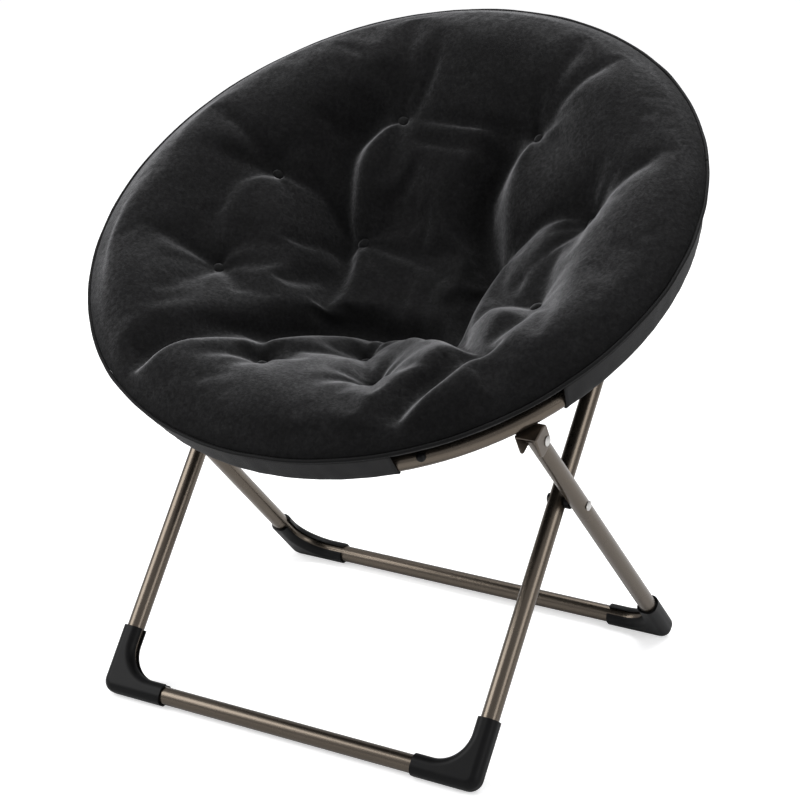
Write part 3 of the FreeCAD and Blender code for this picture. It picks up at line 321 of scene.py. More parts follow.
BACK_FABRIC = woven_material(
    "woven_back", (0.0030, 0.0030, 0.0032), (0.0115, 0.0115, 0.0120),
    threads=260.0, roughness=0.65, sheen=0.05,
)
PIPING_FABRIC = woven_material(
    "piping_fabric", (0.0018, 0.0018, 0.0018), (0.006, 0.006, 0.0063),
    threads=420.0, roughness=0.5, sheen=0.0,
)
print("made", BACK_FABRIC.name, "and", PIPING_FABRIC.name)

# %% [markdown]
# The tubes have a satin bronze powder coat over steel: a metallic brown with a soft highlight and a
# very fine orange-peel texture. The foot caps are moulded plastic, the rivets are zinc plated.

# %% Hard finishes
def coated_steel(name, dark, light, roughness):
    material = bpy.data.materials.new(name)
    tree, shader = nodes_of(material)
    peel = place_speckle(tree, 1500.0, 24.0, 0.8)
    tree.links.new(ramp(tree, peel.outputs["Mottle"], dark, light), shader.inputs["Base Color"])
    tree.links.new(span(tree, peel.outputs["Mottle"], roughness - 0.03, roughness + 0.03),
                   shader.inputs["Roughness"])
    tree.links.new(bump(tree, peel.outputs["Grain"], 0.04, 0.1 * MM), shader.inputs["Normal"])
    shader.inputs["Metallic"].default_value = 0.95
    return material


def zinc_plated():
    material = bpy.data.materials.new("zinc_plate")
    tree, shader = nodes_of(material)
    film = place_speckle(tree, 700.0, 160.0, 1.6)
    tree.links.new(ramp(tree, film.outputs["Mottle"], (0.50, 0.49, 0.47), (0.74, 0.73, 0.71)),
                   shader.inputs["Base Color"])
    tree.links.new(span(tree, film.outputs["Mottle"], 0.24, 0.42), shader.inputs["Roughness"])
    tree.links.new(bump(tree, film.outputs["Grain"], 0.1, 0.1 * MM), shader.inputs["Normal"])
    shader.inputs["Metallic"].default_value = 1.0
    return material


def moulded_plastic():
    material = bpy.data.materials.new("moulded_plastic")
    tree, shader = nodes_of(material)
    grain = place_speckle(tree, 1600.0, 40.0, 1.2)
    tree.links.new(ramp(tree, grain.outputs["Mottle"], (0.0022, 0.0022, 0.0024), (0.0050, 0.0050, 0.0053)),
                   shader.inputs["Base Color"])
    tree.links.new(span(tree, grain.outputs["Mottle"], 0.36, 0.48), shader.inputs["Roughness"])
    tree.links.new(bump(tree, grain.outputs["Grain"], 0.2, 0.12 * MM), shader.inputs["Normal"])
    shader.inputs["Specular IOR Level"].default_value = 0.13
    return material


BRONZE = coated_steel("bronze_coat", (0.120, 0.100, 0.080), (0.136, 0.114, 0.092), 0.27)
BRACKET_COAT = coated_steel("bracket_coat", (0.118, 0.099, 0.081), (0.136, 0.115, 0.095), 0.33)
ZINC = zinc_plated()
PLASTIC = moulded_plastic()
print("made", [m.name for m in (BRONZE, BRACKET_COAT, ZINC, PLASTIC)])

# %% Give the CAD nodes their finishes
FINISH_WORDS = [
    ("rivet", ZINC),
    ("bracket", BRACKET_COAT),
    ("hinge", BRACKET_COAT),
    ("cap", PLASTIC),
    ("spacer", PLASTIC),
    ("clip", PLASTIC),
    ("sleeve", BACK_FABRIC),
    ("cover", BACK_FABRIC),
    ("piping", PIPING_FABRIC),
    ("cushion", PLUSH),
    ("buttons", PLUSH),
]
for node_name, node in frame["nodes"].items():
    finish = next((made for word, made in FINISH_WORDS if word in node_name), BRONZE)
    node.data.materials.clear()
    node.data.materials.append(finish)
print("finished", len(frame["nodes"]), "nodes")

# %% [markdown]
# The cushion is one padded disc that is pulled into a bowl and tied down at eleven buttons. Its
# shape comes in two steps. First the bowl is drawn as a section turned round the rim's axis, with a
# funnel at each button and a valley along each fold that the photograph shows. Then a cloth
# simulation inflates it a little, so that the cloth between the buttons swells and wrinkles by
# itself.

# %% The bowl's section
# Distance from the axis and height over the piping, in millimetres, from the middle to the nose.
BOWL_SECTION = [
    (0, -148), (40, -144), (80, -132), (112, -114), (150, -88), (180, -67), (222, -40),
    (250, -20), (275, -4), (300, 9), (325, 18), (345, 22), (360, 22), (372, 18.5), (380, 14.5),
]
NOSE_SECTION = [(387, 10.5), (393, 6.5), (397.2, 2.5), (398.4, 0.0), (397.2, -3.2), (393.5, -8.5)]
UNDER_SECTION = [
    (388, -15.5), (380, -21.5), (370, -25.5), (356, -28.5), (349, -37), (343, -46), (330, -62.5),
    (310, -84.5), (285, -109), (255, -134), (220, -159), (180, -181), (140, -197.5), (100, -209),
    (60, -216), (25, -219.5),
]
section_reach = np.array([reach for reach, _ in BOWL_SECTION + [(397, 0.0)]], float) * MM
section_height = np.array([height for _, height in BOWL_SECTION + [(397, 0.0)]], float) * MM


def bowl_height(reach):
    """Height of the un-tufted bowl at a distance from the axis, with the corners rounded off."""
    offsets = np.linspace(-14, 14, 9) * MM
    heights = [np.interp(np.abs(reach + offset), section_reach, section_height) for offset in offsets]
    smooth = np.mean(heights, axis=0)
    sharp = np.interp(reach, section_reach, section_height)
    share = np.clip((reach - 362 * MM) / (16 * MM), 0, 1)
    return smooth * (1 - share) + sharp * share


# %% Buttons and folds, in the rim's frame
# Across, up the slope, depth of the funnel: millimetres. Each was placed from the photograph.
TUFTS = [
    (-103, 217, 26), (101, 217, 26),
    (-231, 87, 27), (234, 83, 24),
    (-227, -90, 26), (218, -62, 14),
    (-104, 54, 24), (108, 50, 22),
    (-81, -232, 42), (78, -233, 40),
    (5, -150, 34),
]
# Edges where one padded panel stands over the next, which lies to the left of the edge's run.
# Along the edge: across, up the slope, rise of the panel, drop beyond it, width of the drop.
EDGES = [
    (50, [(-191, -342, 2, 8, 24), (-172, -317, 5, 18, 30), (-157, -283, 7, 24, 34),
          (-124, -243, 9, 30, 38), (-83, -201, 11, 34, 40), (-53, -164, 13, 36, 42),
          (-20, -133, 14, 36, 42), (46, -128, 14, 34, 42), (102, -147, 12, 32, 40),
          (148, -179, 9, 30, 36), (190, -209, 6, 26, 30), (222, -232, 3, 18, 26)]),
    (40, [(191, -336, 2, 8, 22), (193, -315, 5, 18, 24), (203, -286, 7, 26, 28),
          (218, -259, 9, 29, 32), (240, -210, 9, 26, 36), (262, -163, 8, 20, 40),
          (282, -127, 7, 15, 44), (285, -95, 6, 12, 48), (276, -52, 6, 12, 52),
          (272, 4, 6, 12, 50), (269, 43, 5, 10, 46), (268, 78, 3, 8, 38),
          (264, 106, 2, 5, 32), (267, 132, 0, 2, 30)]),
    (50, [(166, -140, 1, 6, 30), (154, -108, 7, 28, 32), (142, -62, 10, 34, 38),
          (133, -18, 10, 32, 38), (126, 20, 8, 29, 35), (119, 50, 7, 27, 32),
          (114, 78, 9, 31, 36), (105, 112, 10, 34, 40), (98, 150, 10, 34, 40),
          (98, 188, 7, 28, 34), (101, 222, 1, 8, 26)]),
    (75, [(-48, -108, 0, 3, 36), (-60, -68, 2, 8, 36), (-78, -20, 6, 20, 38),
          (-90, 18, 8, 28, 38), (-99, 50, 9, 34, 36), (-106, 78, 10, 38, 38),
          (-113, 110, 10, 38, 40), (-117, 150, 9, 34, 38), (-111, 188, 6, 26, 32),
          (-100, 222, 1, 8, 26)]),
    (38, [(-220, -90, 1, 5, 22), (-231, -40, 3, 9, 28), (-235, 5, 4, 11, 30),
          (-233, 48, 3, 9, 28), (-224, 90, 1, 5, 22)]),
]
# Each fold: its depth and half width, and the points that it runs through. A depth below zero is a
# raised tuck.
VALLEYS = [
    (13, 8, [(-103, 220), (-50, 219), (0, 218), (50, 218), (101, 220)]),
    (-6, 8, [(-98, 208), (-45, 205), (20, 205), (98, 208)]),
    (11, 7, [(-92, 196), (-40, 191), (20, 191), (92, 196)]),
    (7, 20, [(-103, 217), (-150, 190), (-200, 140), (-231, 87)]),
    (10, 20, [(101, 217), (150, 190), (200, 140), (234, 83)]),
    (6, 18, [(-231, 87), (-170, 84), (-104, 54)]),
    (12, 16, [(234, 83), (190, 88), (150, 78), (106, 52)]),
    (9, 12, [(234, 83), (206, 40), (180, -10), (168, -50)]),
    (7, 13, [(218, -62), (196, -62), (172, -70), (158, -88), (152, -112)]),
    (4, 10, [(152, -60), (150, -95), (158, -128)]),
    (7, 14, [(-103, 217), (-110, 270), (-122, 335)]),
    (9, 12, [(-90, 222), (-72, 262), (-70, 305)]),
    (8, 14, [(101, 217), (116, 270), (132, 330)]),
    (9, 14, [(108, 214), (146, 262), (190, 300)]),
    (9, 12, [(-231, 87), (-275, 112), (-318, 128)]),
    (6, 12, [(-231, 87), (-262, 70), (-300, 62)]),
    (10, 13, [(234, 83), (280, 118), (312, 150)]),
    (9, 11, [(-227, -90), (-272, -90), (-312, -84)]),
    (6, 10, [(-227, -90), (-232, -125), (-226, -160)]),
    (6, 10, [(-227, -90), (-190, -112), (-165, -140)]),
    (6, 12, [(-104, 54), (-150, 20), (-180, -20)]),
    (4, 12, [(-104, 54), (-128, 10), (-138, -50), (-132, -110)]),
    (8, 14, [(-81, -232), (-38, -188), (5, -143)]),
    (8, 14, [(78, -233), (42, -188), (5, -143)]),
    (6, 10, [(5, -143), (45, -128), (80, -132)]),
    (6, 10, [(5, -143), (-30, -140), (-60, -150)]),
    (6, 10, [(78, -233), (120, -225), (160, -228)]),
    (6, 10, [(-81, -232), (-125, -240), (-150, -262)]),
    (5, 10, [(-30, 150), (-20, 60), (-10, -20), (0, -70)]),
    (6, 9, [(30, 60), (20, 0), (28, -50), (45, -92)]),
    (6, 9, [(62, 70), (55, 10), (60, -50), (78, -95)]),
    (5, 12, [(-60, 190), (-40, 120), (-50, 60)]),
    (5, 12, [(60, 195), (48, 130), (66, 70)]),
]
# Plump areas: across, up the slope, rise and reach.
SWELLS = [
    (0, -290, 9, 90), (-110, -290, 6, 60), (130, -285, 6, 55), (0, 130, 13, 75), (0, 20, 11, 62),
    (-170, 20, 14, 62), (-165, 130, 13, 52), (178, 20, 12, 50), (170, 135, 14, 52),
    (-155, -80, 11, 55), (185, -110, 11, 40), (-290, 0, 9, 60), (-270, -170, 9, 60), (0, 300, 9, 90),
    (-200, 235, 9, 70), (200, 235, 10, 70), (-300, 90, 7, 60), (310, 60, 7, 60),
    (0, -200, 9, 42), (-150, -220, 7, 45), (140, -215, 8, 40), (-40, -260, 4, 40), (30, -262, 4, 40),
]
print(len(TUFTS), "buttons,", len(EDGES), "edges,", len(VALLEYS), "folds,", len(SWELLS), "swells")


# %% Depth of the folds at any point
ROUTE_STEP = 6
EDGE_SWELL = 34 * MM


def smooth_route(route, step=ROUTE_STEP):
    """Rows of values along a Catmull-Rom curve through the route's rows, in metres."""
    given = [np.array(row, float) for row in route]
    given = [2 * given[0] - given[1]] + given + [2 * given[-1] - given[-2]]
    rows = []
    for before, start, end, after in zip(given, given[1:], given[2:], given[3:]):
        count = max(2, int(np.hypot(*(end - start)[:2]) / step))
        for index in range(count):
            u = index / count
            curve = 2 * start + (end - before) * u
            curve = curve + (2 * before - 5 * start + 4 * end - after) * u**2
            curve = curve + (3 * start - before - 3 * end + after) * u**3
            rows.append(curve / 2)
    rows.append(given[-2])
    return np.array(rows) * MM


def nearest(points, route):
    """For each point: distance to the route, positive on its left, and the nearest row's number."""
    best = np.full(len(points), 10.0)
    signed = np.full(len(points), 10.0)
    row = np.zeros(len(points))
    for index, (start, end) in enumerate(zip(route[:, :2], route[1:, :2])):
        run = end - start
        offset = points - start
        along = np.clip(offset @ run / max(run @ run, 1e-12), 0, 1)
        away = np.hypot(*(offset - along[:, None] * run).T)
        closer = away < best
        side = np.sign(run[0] * offset[:, 1] - run[1] * offset[:, 0])
        best[closer] = away[closer]
        signed[closer] = (away * side)[closer]
        row[closer] = (index + along)[closer]
    return signed, row


def edge_height(points, recover, route):
    """A panel's rounded rise up to its edge, its steep fall beyond, and the slow return to the bowl."""
    curve = smooth_route(route)
    signed, row = nearest(points, curve)
    rows = np.arange(len(curve))
    rise, drop, width = (np.interp(row, rows, curve[:, column]) for column in (2, 3, 4))
    ends = np.minimum(row, len(curve) - 1 - row) * ROUTE_STEP * MM
    beyond = np.clip(ends / (14 * MM), 0, 1)
    inside = rise * np.exp(-((signed / EDGE_SWELL) ** 2))
    fall = rise - (rise + drop) * (1 - np.cos(math.pi * np.clip(signed / width, 0, 1))) / 2
    back = -drop * (1 + np.cos(math.pi * np.clip((signed - width) / (recover * MM), 0, 1))) / 2
    height = np.where(signed < 0, inside, np.where(signed < width, fall, back))
    return height * (0.35 + 0.65 * beyond)


def pleats(away, turn, number, depth):
    """Short pleats that run out from a button."""
    count = 7 + number % 4
    wave = np.cos(count * turn + 1.7 * number) + 0.6 * np.cos((count - 3) * turn + 0.9 * number)
    reach = away / (15 * MM)
    return depth / 11 * MM * wave * reach * np.exp(1 - reach)


def shaped_height(places):
    """Height of the drawn cushion at each (x, s), with its folds and funnels."""
    reach = np.hypot(places[:, 0], places[:, 1])
    height = bowl_height(reach)
    # The padded edge is a little flatter behind the sitter's head.
    towards_rear = np.clip(places[:, 1] / (280 * MM), 0, 1)
    extra = -6 * MM * towards_rear * np.exp(-(((reach - 350 * MM) / (30 * MM)) ** 2))
    for across, up, rise, spread in SWELLS:
        away = np.hypot(places[:, 0] - across * MM, places[:, 1] - up * MM)
        extra += rise * MM * np.exp(-((away / (spread * MM)) ** 2))
    lowest = np.zeros(len(places))
    for recover, route in EDGES:
        step = edge_height(places, recover, route)
        extra += np.maximum(step, 0)
        lowest = np.minimum(lowest, step)
    extra += lowest
    for depth, half_width, route in VALLEYS:
        curve = smooth_route(route)
        signed, row = nearest(places, curve)
        share = row / (len(curve) - 1)
        fade = np.clip(np.minimum(share, 1 - share) / 0.2, 0.3, 1)
        extra -= depth * MM * fade * np.exp(-np.abs(signed / (half_width * MM)) ** 1.3)
    for number, (across, up, depth) in enumerate(TUFTS):
        offset = places - np.array([across, up]) * MM
        away = np.hypot(*offset.T)
        extra -= depth * MM * np.exp(-away / (22 * MM))
        extra += pleats(away, np.arctan2(offset[:, 1], offset[:, 0]), number, depth)
    near_rim = np.clip((392 * MM - reach) / (26 * MM), 0, 1)
    return height + extra * near_rim * near_rim * (3 - 2 * near_rim)


print("deepest drawn point", round(float(shaped_height(np.array([[0.005, -0.143]]))[0]), 4))

# %% [markdown]
# The mesh is a disc of rings, each ring with six more corners than the one inside it. That keeps the
# triangles nearly equal all over, so that the simulated wrinkles have no favourite direction.

# %% A closed cushion mesh
TOP_STEP = 5 * MM
TOP_EDGE = 380 * MM


def stitch(first, second):
    """Triangles between two rings of corners, each a list of indexes that starts at angle 0."""
    faces = []
    a = b = 0
    while a < len(first) or b < len(second):
        next_a = (a + 1) / len(first)
        next_b = (b + 1) / len(second)
        corner_a = first[a % len(first)]
        corner_b = second[b % len(second)]
        if b >= len(second) or (a < len(first) and next_a <= next_b):
            faces.append((corner_a, first[(a + 1) % len(first)], corner_b))
            a += 1
        else:
            faces.append((corner_a, second[(b + 1) % len(second)], corner_b))
            b += 1
    return faces


def ring_of(count, reach, height):
    turn = np.arange(count) * 2 * math.pi / count
    return np.column_stack([reach * np.cos(turn), reach * np.sin(turn), np.full(count, height)])


def cushion_mesh():
    """Corners and faces of the closed cushion, and which corners are on its upper side."""
    rings = [np.array([[0.0, 0.0, 0.0]])]
    steps = int(round(TOP_EDGE / TOP_STEP))
    for step in range(1, steps + 1):
        rings.append(ring_of(6 * step, step * TOP_STEP, 0))
    top_count = len(rings)
    edge_count = 6 * steps
    for reach, height in NOSE_SECTION:
        rings.append(ring_of(edge_count, reach * MM, height * MM))
    for reach, height in UNDER_SECTION:
        count = max(24, int(6 * reach * MM / (11 * MM)))
        rings.append(ring_of(count, reach * MM, height * MM))
    rings.append(np.array([[0.0, 0.0, -220.5 * MM]]))
    points = np.vstack(rings)
    upper = np.zeros(len(points), bool)
    upper[: sum(len(ring) for ring in rings[:top_count])] = True
    points[upper, 2] = shaped_height(points[upper, :2])
    starts = np.cumsum([0] + [len(ring) for ring in rings])
    faces = []
    for index in range(len(rings) - 1):
        inner = list(range(starts[index], starts[index + 1]))
        outer = list(range(starts[index + 1], starts[index + 2]))
        if len(inner) == 1:
            count = len(outer)
            faces += [(inner[0], outer[i], outer[(i + 1) % count]) for i in range(count)]
        elif len(outer) == 1:
            count = len(inner)
            faces += [(inner[i], outer[0], inner[(i + 1) % count]) for i in range(count)]
        else:
            faces += stitch(inner, outer)
    return points, faces, upper


cushion_points, cushion_faces, upper_side = cushion_mesh()
cushion = new_object("seat_cushion", mesh_from("seat_cushion", cushion_points, cushion_faces))
face_outward(cushion)
cushion.data.shade_smooth()
print("cushion corners", len(cushion.data.vertices), "faces", len(cushion.data.polygons))


# %% [markdown]
# The simulation holds the underside, the nose and the ring round each button still, and lets the
# rest of the plush grow by about half a per cent under a little pressure. Cloth that is too large
# for its place swells between the buttons and wrinkles where it is tied.

# %% Simulate the plush
SIM_FRAMES = 20
MOST_MOVE = 14 * MM


def simulate(piece, held):
    """Runs the cloth once, applies it, and limits how far any corner may move."""
    before = np.array([corner.co for corner in piece.data.vertices])
    group = piece.vertex_groups.new(name="held")
    for weight in sorted({round(float(value), 2) for value in held if value > 0}):
        chosen = [i for i, value in enumerate(held) if round(float(value), 2) == weight]
        group.add(chosen, weight, "REPLACE")
    cloth = piece.modifiers.new("cloth", "CLOTH")
    settings = cloth.settings
    settings.quality = 6
    settings.mass = 0.3
    settings.tension_stiffness = 18
    settings.compression_stiffness = 18
    settings.shear_stiffness = 8
    settings.bending_stiffness = 8.0
    settings.use_pressure = True
    settings.uniform_pressure_force = 3.0
    settings.shrink_min = -0.006
    settings.effector_weights.gravity = 0
    settings.vertex_group_mass = "held"
    cloth.collision_settings.use_collision = False
    cloth.point_cache.frame_start = 1
    cloth.point_cache.frame_end = SIM_FRAMES
    scene = bpy.context.scene
    for step in range(1, SIM_FRAMES + 1):
        scene.frame_set(step)
    graph = bpy.context.evaluated_depsgraph_get()
    settled = bpy.data.meshes.new_from_object(piece.evaluated_get(graph))
    after = np.array([corner.co for corner in settled.vertices])
    piece.modifiers.clear()
    bpy.data.meshes.remove(settled)
    scene.frame_set(1)
    moved = after - before
    distance = np.linalg.norm(moved, axis=1)
    share = np.minimum(1, MOST_MOVE / np.maximum(distance, 1e-9))
    final = before + moved * share[:, None]
    piece.data.vertices.foreach_set("co", final.ravel())
    piece.data.update()
    kept = distance * share
    print("moved up to", round(float(distance.max()), 4), "m, kept", round(float(kept.max()), 4))


def held_weights():
    """1 where the plush is tied or stitched down, 0 where it is free."""
    held = np.where(upper_side, 0.06, 1.0)
    reach = np.hypot(cushion_points[:, 0], cushion_points[:, 1])
    held[upper_side & (reach > 372 * MM)] = 1.0
    for across, up, _ in TUFTS:
        away = np.hypot(cushion_points[:, 0] - across * MM, cushion_points[:, 1] - up * MM)
        held[upper_side & (away < 9 * MM)] = 1.0
    return held


def soften(piece, rounds, fixed):
    """Moves each free corner half way to the middle of its neighbours, a few times."""
    corners = np.array([corner.co for corner in piece.data.vertices])
    pairs = np.array([tuple(edge.vertices) for edge in piece.data.edges])
    count = np.bincount(pairs.ravel(), minlength=len(corners))[:, None]
    for _ in range(rounds):
        total = np.zeros_like(corners)
        np.add.at(total, pairs[:, 0], corners[pairs[:, 1]])
        np.add.at(total, pairs[:, 1], corners[pairs[:, 0]])
        middle = total / count
        corners = np.where(fixed[:, None], corners, (corners + middle) / 2)
    piece.data.vertices.foreach_set("co", corners.ravel())
    piece.data.update()


tied = held_weights()
soften(cushion, 1, tied >= 1)
simulate(cushion, tied)
soften(cushion, 1, tied >= 1)

# %% Refine, split at the hoop's fold line, and hand over to the two bodies
cushion.data.materials.append(PLUSH)
smooth = cushion.modifiers.new("smooth", "SUBSURF")
smooth.levels = 1
graph = bpy.context.evaluated_depsgraph_get()
fine_mesh = bpy.data.meshes.new_from_object(cushion.evaluated_get(graph))
cushion.modifiers.clear()
cushion.data = fine_mesh
print("refined corners", len(fine_mesh.vertices))

FOLD_POINT = RIM_CENTRE + ALONG * HINGE_S


def half_of(piece, name, rear):
    """The part of a piece on one side of the hoop's fold line, closed where it is cut."""
    mesh = bmesh.new()
    mesh.from_mesh(piece.data)
    kept = mesh.verts.layers.float_vector.new("kept_normal")
    for corner in mesh.verts:
        corner[kept] = corner.normal
    geometry = mesh.verts[:] + mesh.edges[:] + mesh.faces[:]
    cut = bmesh.ops.bisect_plane(
        mesh, geom=geometry, plane_co=FOLD_POINT, plane_no=ALONG if rear else -ALONG, clear_inner=True
    )
    edges = [item for item in cut["geom_cut"] if isinstance(item, bmesh.types.BMEdge)]
    filled = bmesh.ops.triangle_fill(mesh, edges=edges, use_beauty=True)
    lid = [item for item in filled["geom"] if isinstance(item, bmesh.types.BMFace)]
    bmesh.ops.recalc_face_normals(mesh, faces=mesh.faces)
    for face in lid:
        face.smooth = False
    normals = []
    for face in mesh.faces:
        for corner in face.verts:
            normals.append(tuple(corner[kept]) if face.smooth else tuple(face.normal))
    made = bpy.data.meshes.new(name)
    mesh.to_mesh(made)
    mesh.free()
    made.normals_split_custom_set(normals)
    for material in piece.data.materials:
        made.materials.append(material)
    return new_object(name, made)


def part_at_fold(piece, name, nodes):
    """Splits a soft piece and lets each half ride on its half of the hoop, in place of its CAD nodes."""
    halves = []
    for end, rear in (("front", False), ("rear", True)):
        half = half_of(piece, f"{name}_{end}", rear)
        half_nodes = [node for node in nodes if node.endswith(end)]
        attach(half, f"hoop_{end}")
        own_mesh(half)
        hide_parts(*half_nodes)
        halves.append(half)
    bpy.data.objects.remove(piece)
    return halves


# %% [markdown]
# Eleven covered buttons sit at the bottoms of the funnels. Each is a low dome that faces the way the
# plush faces there, so it follows whatever the simulation did.

# %% Buttons
BUTTON_RADIUS = 9 * MM
BUTTON_HEIGHT = 5 * MM
TO_RIM = RIM_MATRIX.inverted()


def dome(place, normal):
    """Corners and faces of a low dome with a rounded edge, standing on its own flat base."""
    turn = Vector((0, 0, 1)).rotation_difference(normal)
    rows = [(1.0, -0.35), (1.0, 0.0), (0.94, 0.34), (0.78, 0.64), (0.5, 0.88), (0.24, 0.98)]
    count = 28
    points = [place + turn @ Vector((0, 0, -0.35 * BUTTON_HEIGHT))]
    for reach, height in rows:
        for index in range(count):
            angle = index * 2 * math.pi / count
            flat = Vector((math.cos(angle), math.sin(angle), 0)) * reach * BUTTON_RADIUS
            points.append(place + turn @ (flat + Vector((0, 0, height * BUTTON_HEIGHT))))
    points.append(place + turn @ Vector((0, 0, BUTTON_HEIGHT)))
    faces = [(0, 1 + (i + 1) % count, 1 + i) for i in range(count)]
    for row in range(len(rows) - 1):
        base = 1 + row * count
        for i in range(count):
            after = (i + 1) % count
            faces.append((base + i, base + after, base + count + after, base + count + i))
    base = 1 + (len(rows) - 1) * count
    faces += [(base + i, base + (i + 1) % count, len(points) - 1) for i in range(count)]
    return points, faces


surface = np.array([TO_RIM @ corner.co for corner in cushion.data.vertices])
surface_normals = np.array([TO_RIM.to_3x3() @ corner.normal for corner in cushion.data.vertices])
on_top = surface_normals[:, 2] > 0.2
for end in ("front", "rear"):
    points, faces = [], []
    for across, up, _ in TUFTS:
        if (up * MM > HINGE_S) != (end == "rear"):
            continue
        away = np.hypot(surface[:, 0] - across * MM, surface[:, 1] - up * MM) + (~on_top) * 1.0
        floor_height = surface[np.argmin(away), 2]
        round_about = (away > 8 * MM) & (away < 22 * MM)
        normal = Vector(surface_normals[round_about].mean(axis=0)).normalized()
        new_points, new_faces = dome(Vector((across * MM, up * MM, floor_height + 0.8 * MM)), normal)
        faces += [tuple(index + len(points) for index in face) for face in new_faces]
        points += new_points
    buttons = new_object(f"buttons_{end}", mesh_from(f"buttons_{end}", points, faces))
    buttons.data.materials.append(PLUSH)
    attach(buttons, f"hoop_{end}")
    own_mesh(buttons)
    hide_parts(f"tuft_buttons_{end}")
    print(buttons.name, len(points), "corners")

# %% The two halves of the cushion
cushion_nodes = ["seat_cushion_front", "seat_cushion_rear"]
for half in part_at_fold(cushion, "cushion", cushion_nodes):
    print("half", half.name, len(half.data.polygons))

# %% [markdown]
# The back cover is sewn from eight gores of woven cloth, stretched over the underside of the bowl.
# It is a thin closed skin, with a narrow ridge where two gores meet. The corners crowd together at
# each seam so that the ridge keeps its shape.

# %% Back cover
GORES = 8
SEAM_RISE = {0.0: 1.0, 0.15: 0.75, 0.35: 0.2, 0.6: 0.0}


def cover_turns():
    """Angles round the cover in degrees, each with the height of the seam's ridge there."""
    turns = {}
    for step in range(120):
        turns[step * 3.0] = 0.0
    for gore in range(GORES):
        middle = 22.5 + gore * 360 / GORES
        for offset, rise in SEAM_RISE.items():
            turns[middle + offset] = rise
            turns[middle - offset] = rise
    return sorted(turns.items())


def cover_mesh():
    section = [(396.0, -4.5), (393.5, -8.5)] + UNDER_SECTION
    section = [Vector(row) * MM for row in section]
    turns = cover_turns()
    points = []
    for skin in (1.5 * MM, 0.5 * MM):
        for index, place in enumerate(section):
            before = section[max(index - 1, 0)]
            after = section[min(index + 1, len(section) - 1)]
            run = (after - before).normalized()
            outward = Vector((-run.y, run.x))
            if outward.y > 0:
                outward = -outward
            for turn, ridge in turns:
                angle = math.radians(turn)
                side = place.x * 26 * math.cos(angle)
                front = place.x * 26 * math.sin(angle)
                slack = noise.noise(Vector((side, front, 3)))
                lift = skin + (0.9 * MM * ridge if skin > MM else 0) + 0.5 * MM * slack
                spot = place + outward * max(lift, 0.2 * MM)
                points.append((spot.x * math.cos(angle), spot.x * math.sin(angle), spot.y))
    count = len(turns)
    rows = len(section)
    faces = []
    for skin in range(2):
        start = skin * rows * count
        for row in range(rows - 1):
            for i in range(count):
                after = (i + 1) % count
                a = start + row * count
                quad = (a + i, a + count + i, a + count + after, a + after)
                faces.append(quad if skin == 0 else quad[::-1])
    for i in range(count):
        after = (i + 1) % count
        faces.append((i, after, rows * count + after, rows * count + i))
    low = (rows - 1) * count
    faces.append([low + i for i in range(count)][::-1])
    faces.append([rows * count + low + i for i in range(count)])
    return points, faces


cover_points, cover_faces = cover_mesh()
cover = new_object("back_cover", mesh_from("back_cover", cover_points, cover_faces))
cover.data.materials.append(BACK_FABRIC)
cover_nodes = ["back_cover_front", "back_cover_rear"]
for half in part_at_fold(cover, "back_cover_cloth", cover_nodes):
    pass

# %% [markdown]
# The sleeves are strips of the same cloth. Each hangs from the seam under the piping, wraps round
# the tube and is sewn back to the cover, so its section is a teardrop. The strip is wrinkled a
# little along the tube, and its cut ends are hemmed a touch thicker.

# %% Sleeves
def teardrop():
    """The sleeve's outer line, from the piping round the tube to the inner side, in metres."""
    top = Vector((397.6, -4.2)) * MM
    middle = Vector((HOOP_RADIUS, HOOP_HEIGHT))
    radius = TUBE_RADIUS + 2 * MM
    away = top - middle
    spread = math.acos(radius / away.length)
    start = math.atan2(away.y, away.x) - spread
    touch = middle + Vector((math.cos(start), math.sin(start))) * radius
    line = [top + (touch - top) * u / 6 for u in range(6)]
    end = math.radians(-215)
    steps = 22
    for step in range(steps + 1):
        angle = start + (end - start) * step / steps
        line.append(middle + Vector((math.cos(angle), math.sin(angle))) * radius)
    return line


def strip_mesh(name, start, end):
    """A strip with thickness, swept round the rim's axis between two angles in degrees."""
    line = teardrop()
    normals = []
    for index in range(len(line)):
        run = line[min(index + 1, len(line) - 1)] - line[max(index - 1, 0)]
        normals.append(Vector((-run.y, run.x)).normalized())
    if normals[0].x < 0:
        normals = [-normal for normal in normals]
    stations = max(8, int((end - start) / 0.8))
    points = []
    for station in range(stations + 1):
        share = station / stations
        angle = math.radians(start + (end - start) * share)
        from_end = min(share, 1 - share) * math.radians(end - start) * HOOP_RADIUS
        hem = 0.7 * MM * math.exp(-((from_end / (4 * MM)) ** 2))
        outer, inner = [], []
        for index, (spot, normal) in enumerate(zip(line, normals)):
            wave = noise.noise(Vector((angle * 22, index * 0.16, start)))
            fine_wave = noise.noise(Vector((angle * 60, index * 0.3, start + 9)))
            loose = 0.25 + 0.75 * math.sin(math.pi * min(index / 9, 1))
            lift = (0.9 * wave + 0.35 * fine_wave) * MM * loose + hem
            for group, depth in ((outer, 0.0), (inner, 1.1 * MM)):
                at = spot + normal * (lift - depth)
                group.append((at.x * math.cos(angle), at.x * math.sin(angle), at.y))
        points += outer + inner[::-1]
    width = 2 * len(line)
    faces = []
    for station in range(stations):
        a = station * width
        for i in range(width):
            after = (i + 1) % width
            faces.append((a + i, a + width + i, a + width + after, a + after))
    for base, flip in ((0, False), (stations * width, True)):
        for i in range(len(line) - 1):
            quad = (base + i, base + i + 1, base + width - 2 - i, base + width - 1 - i)
            faces.append(quad[::-1] if flip else quad)
    return mesh_from(name, points, faces)


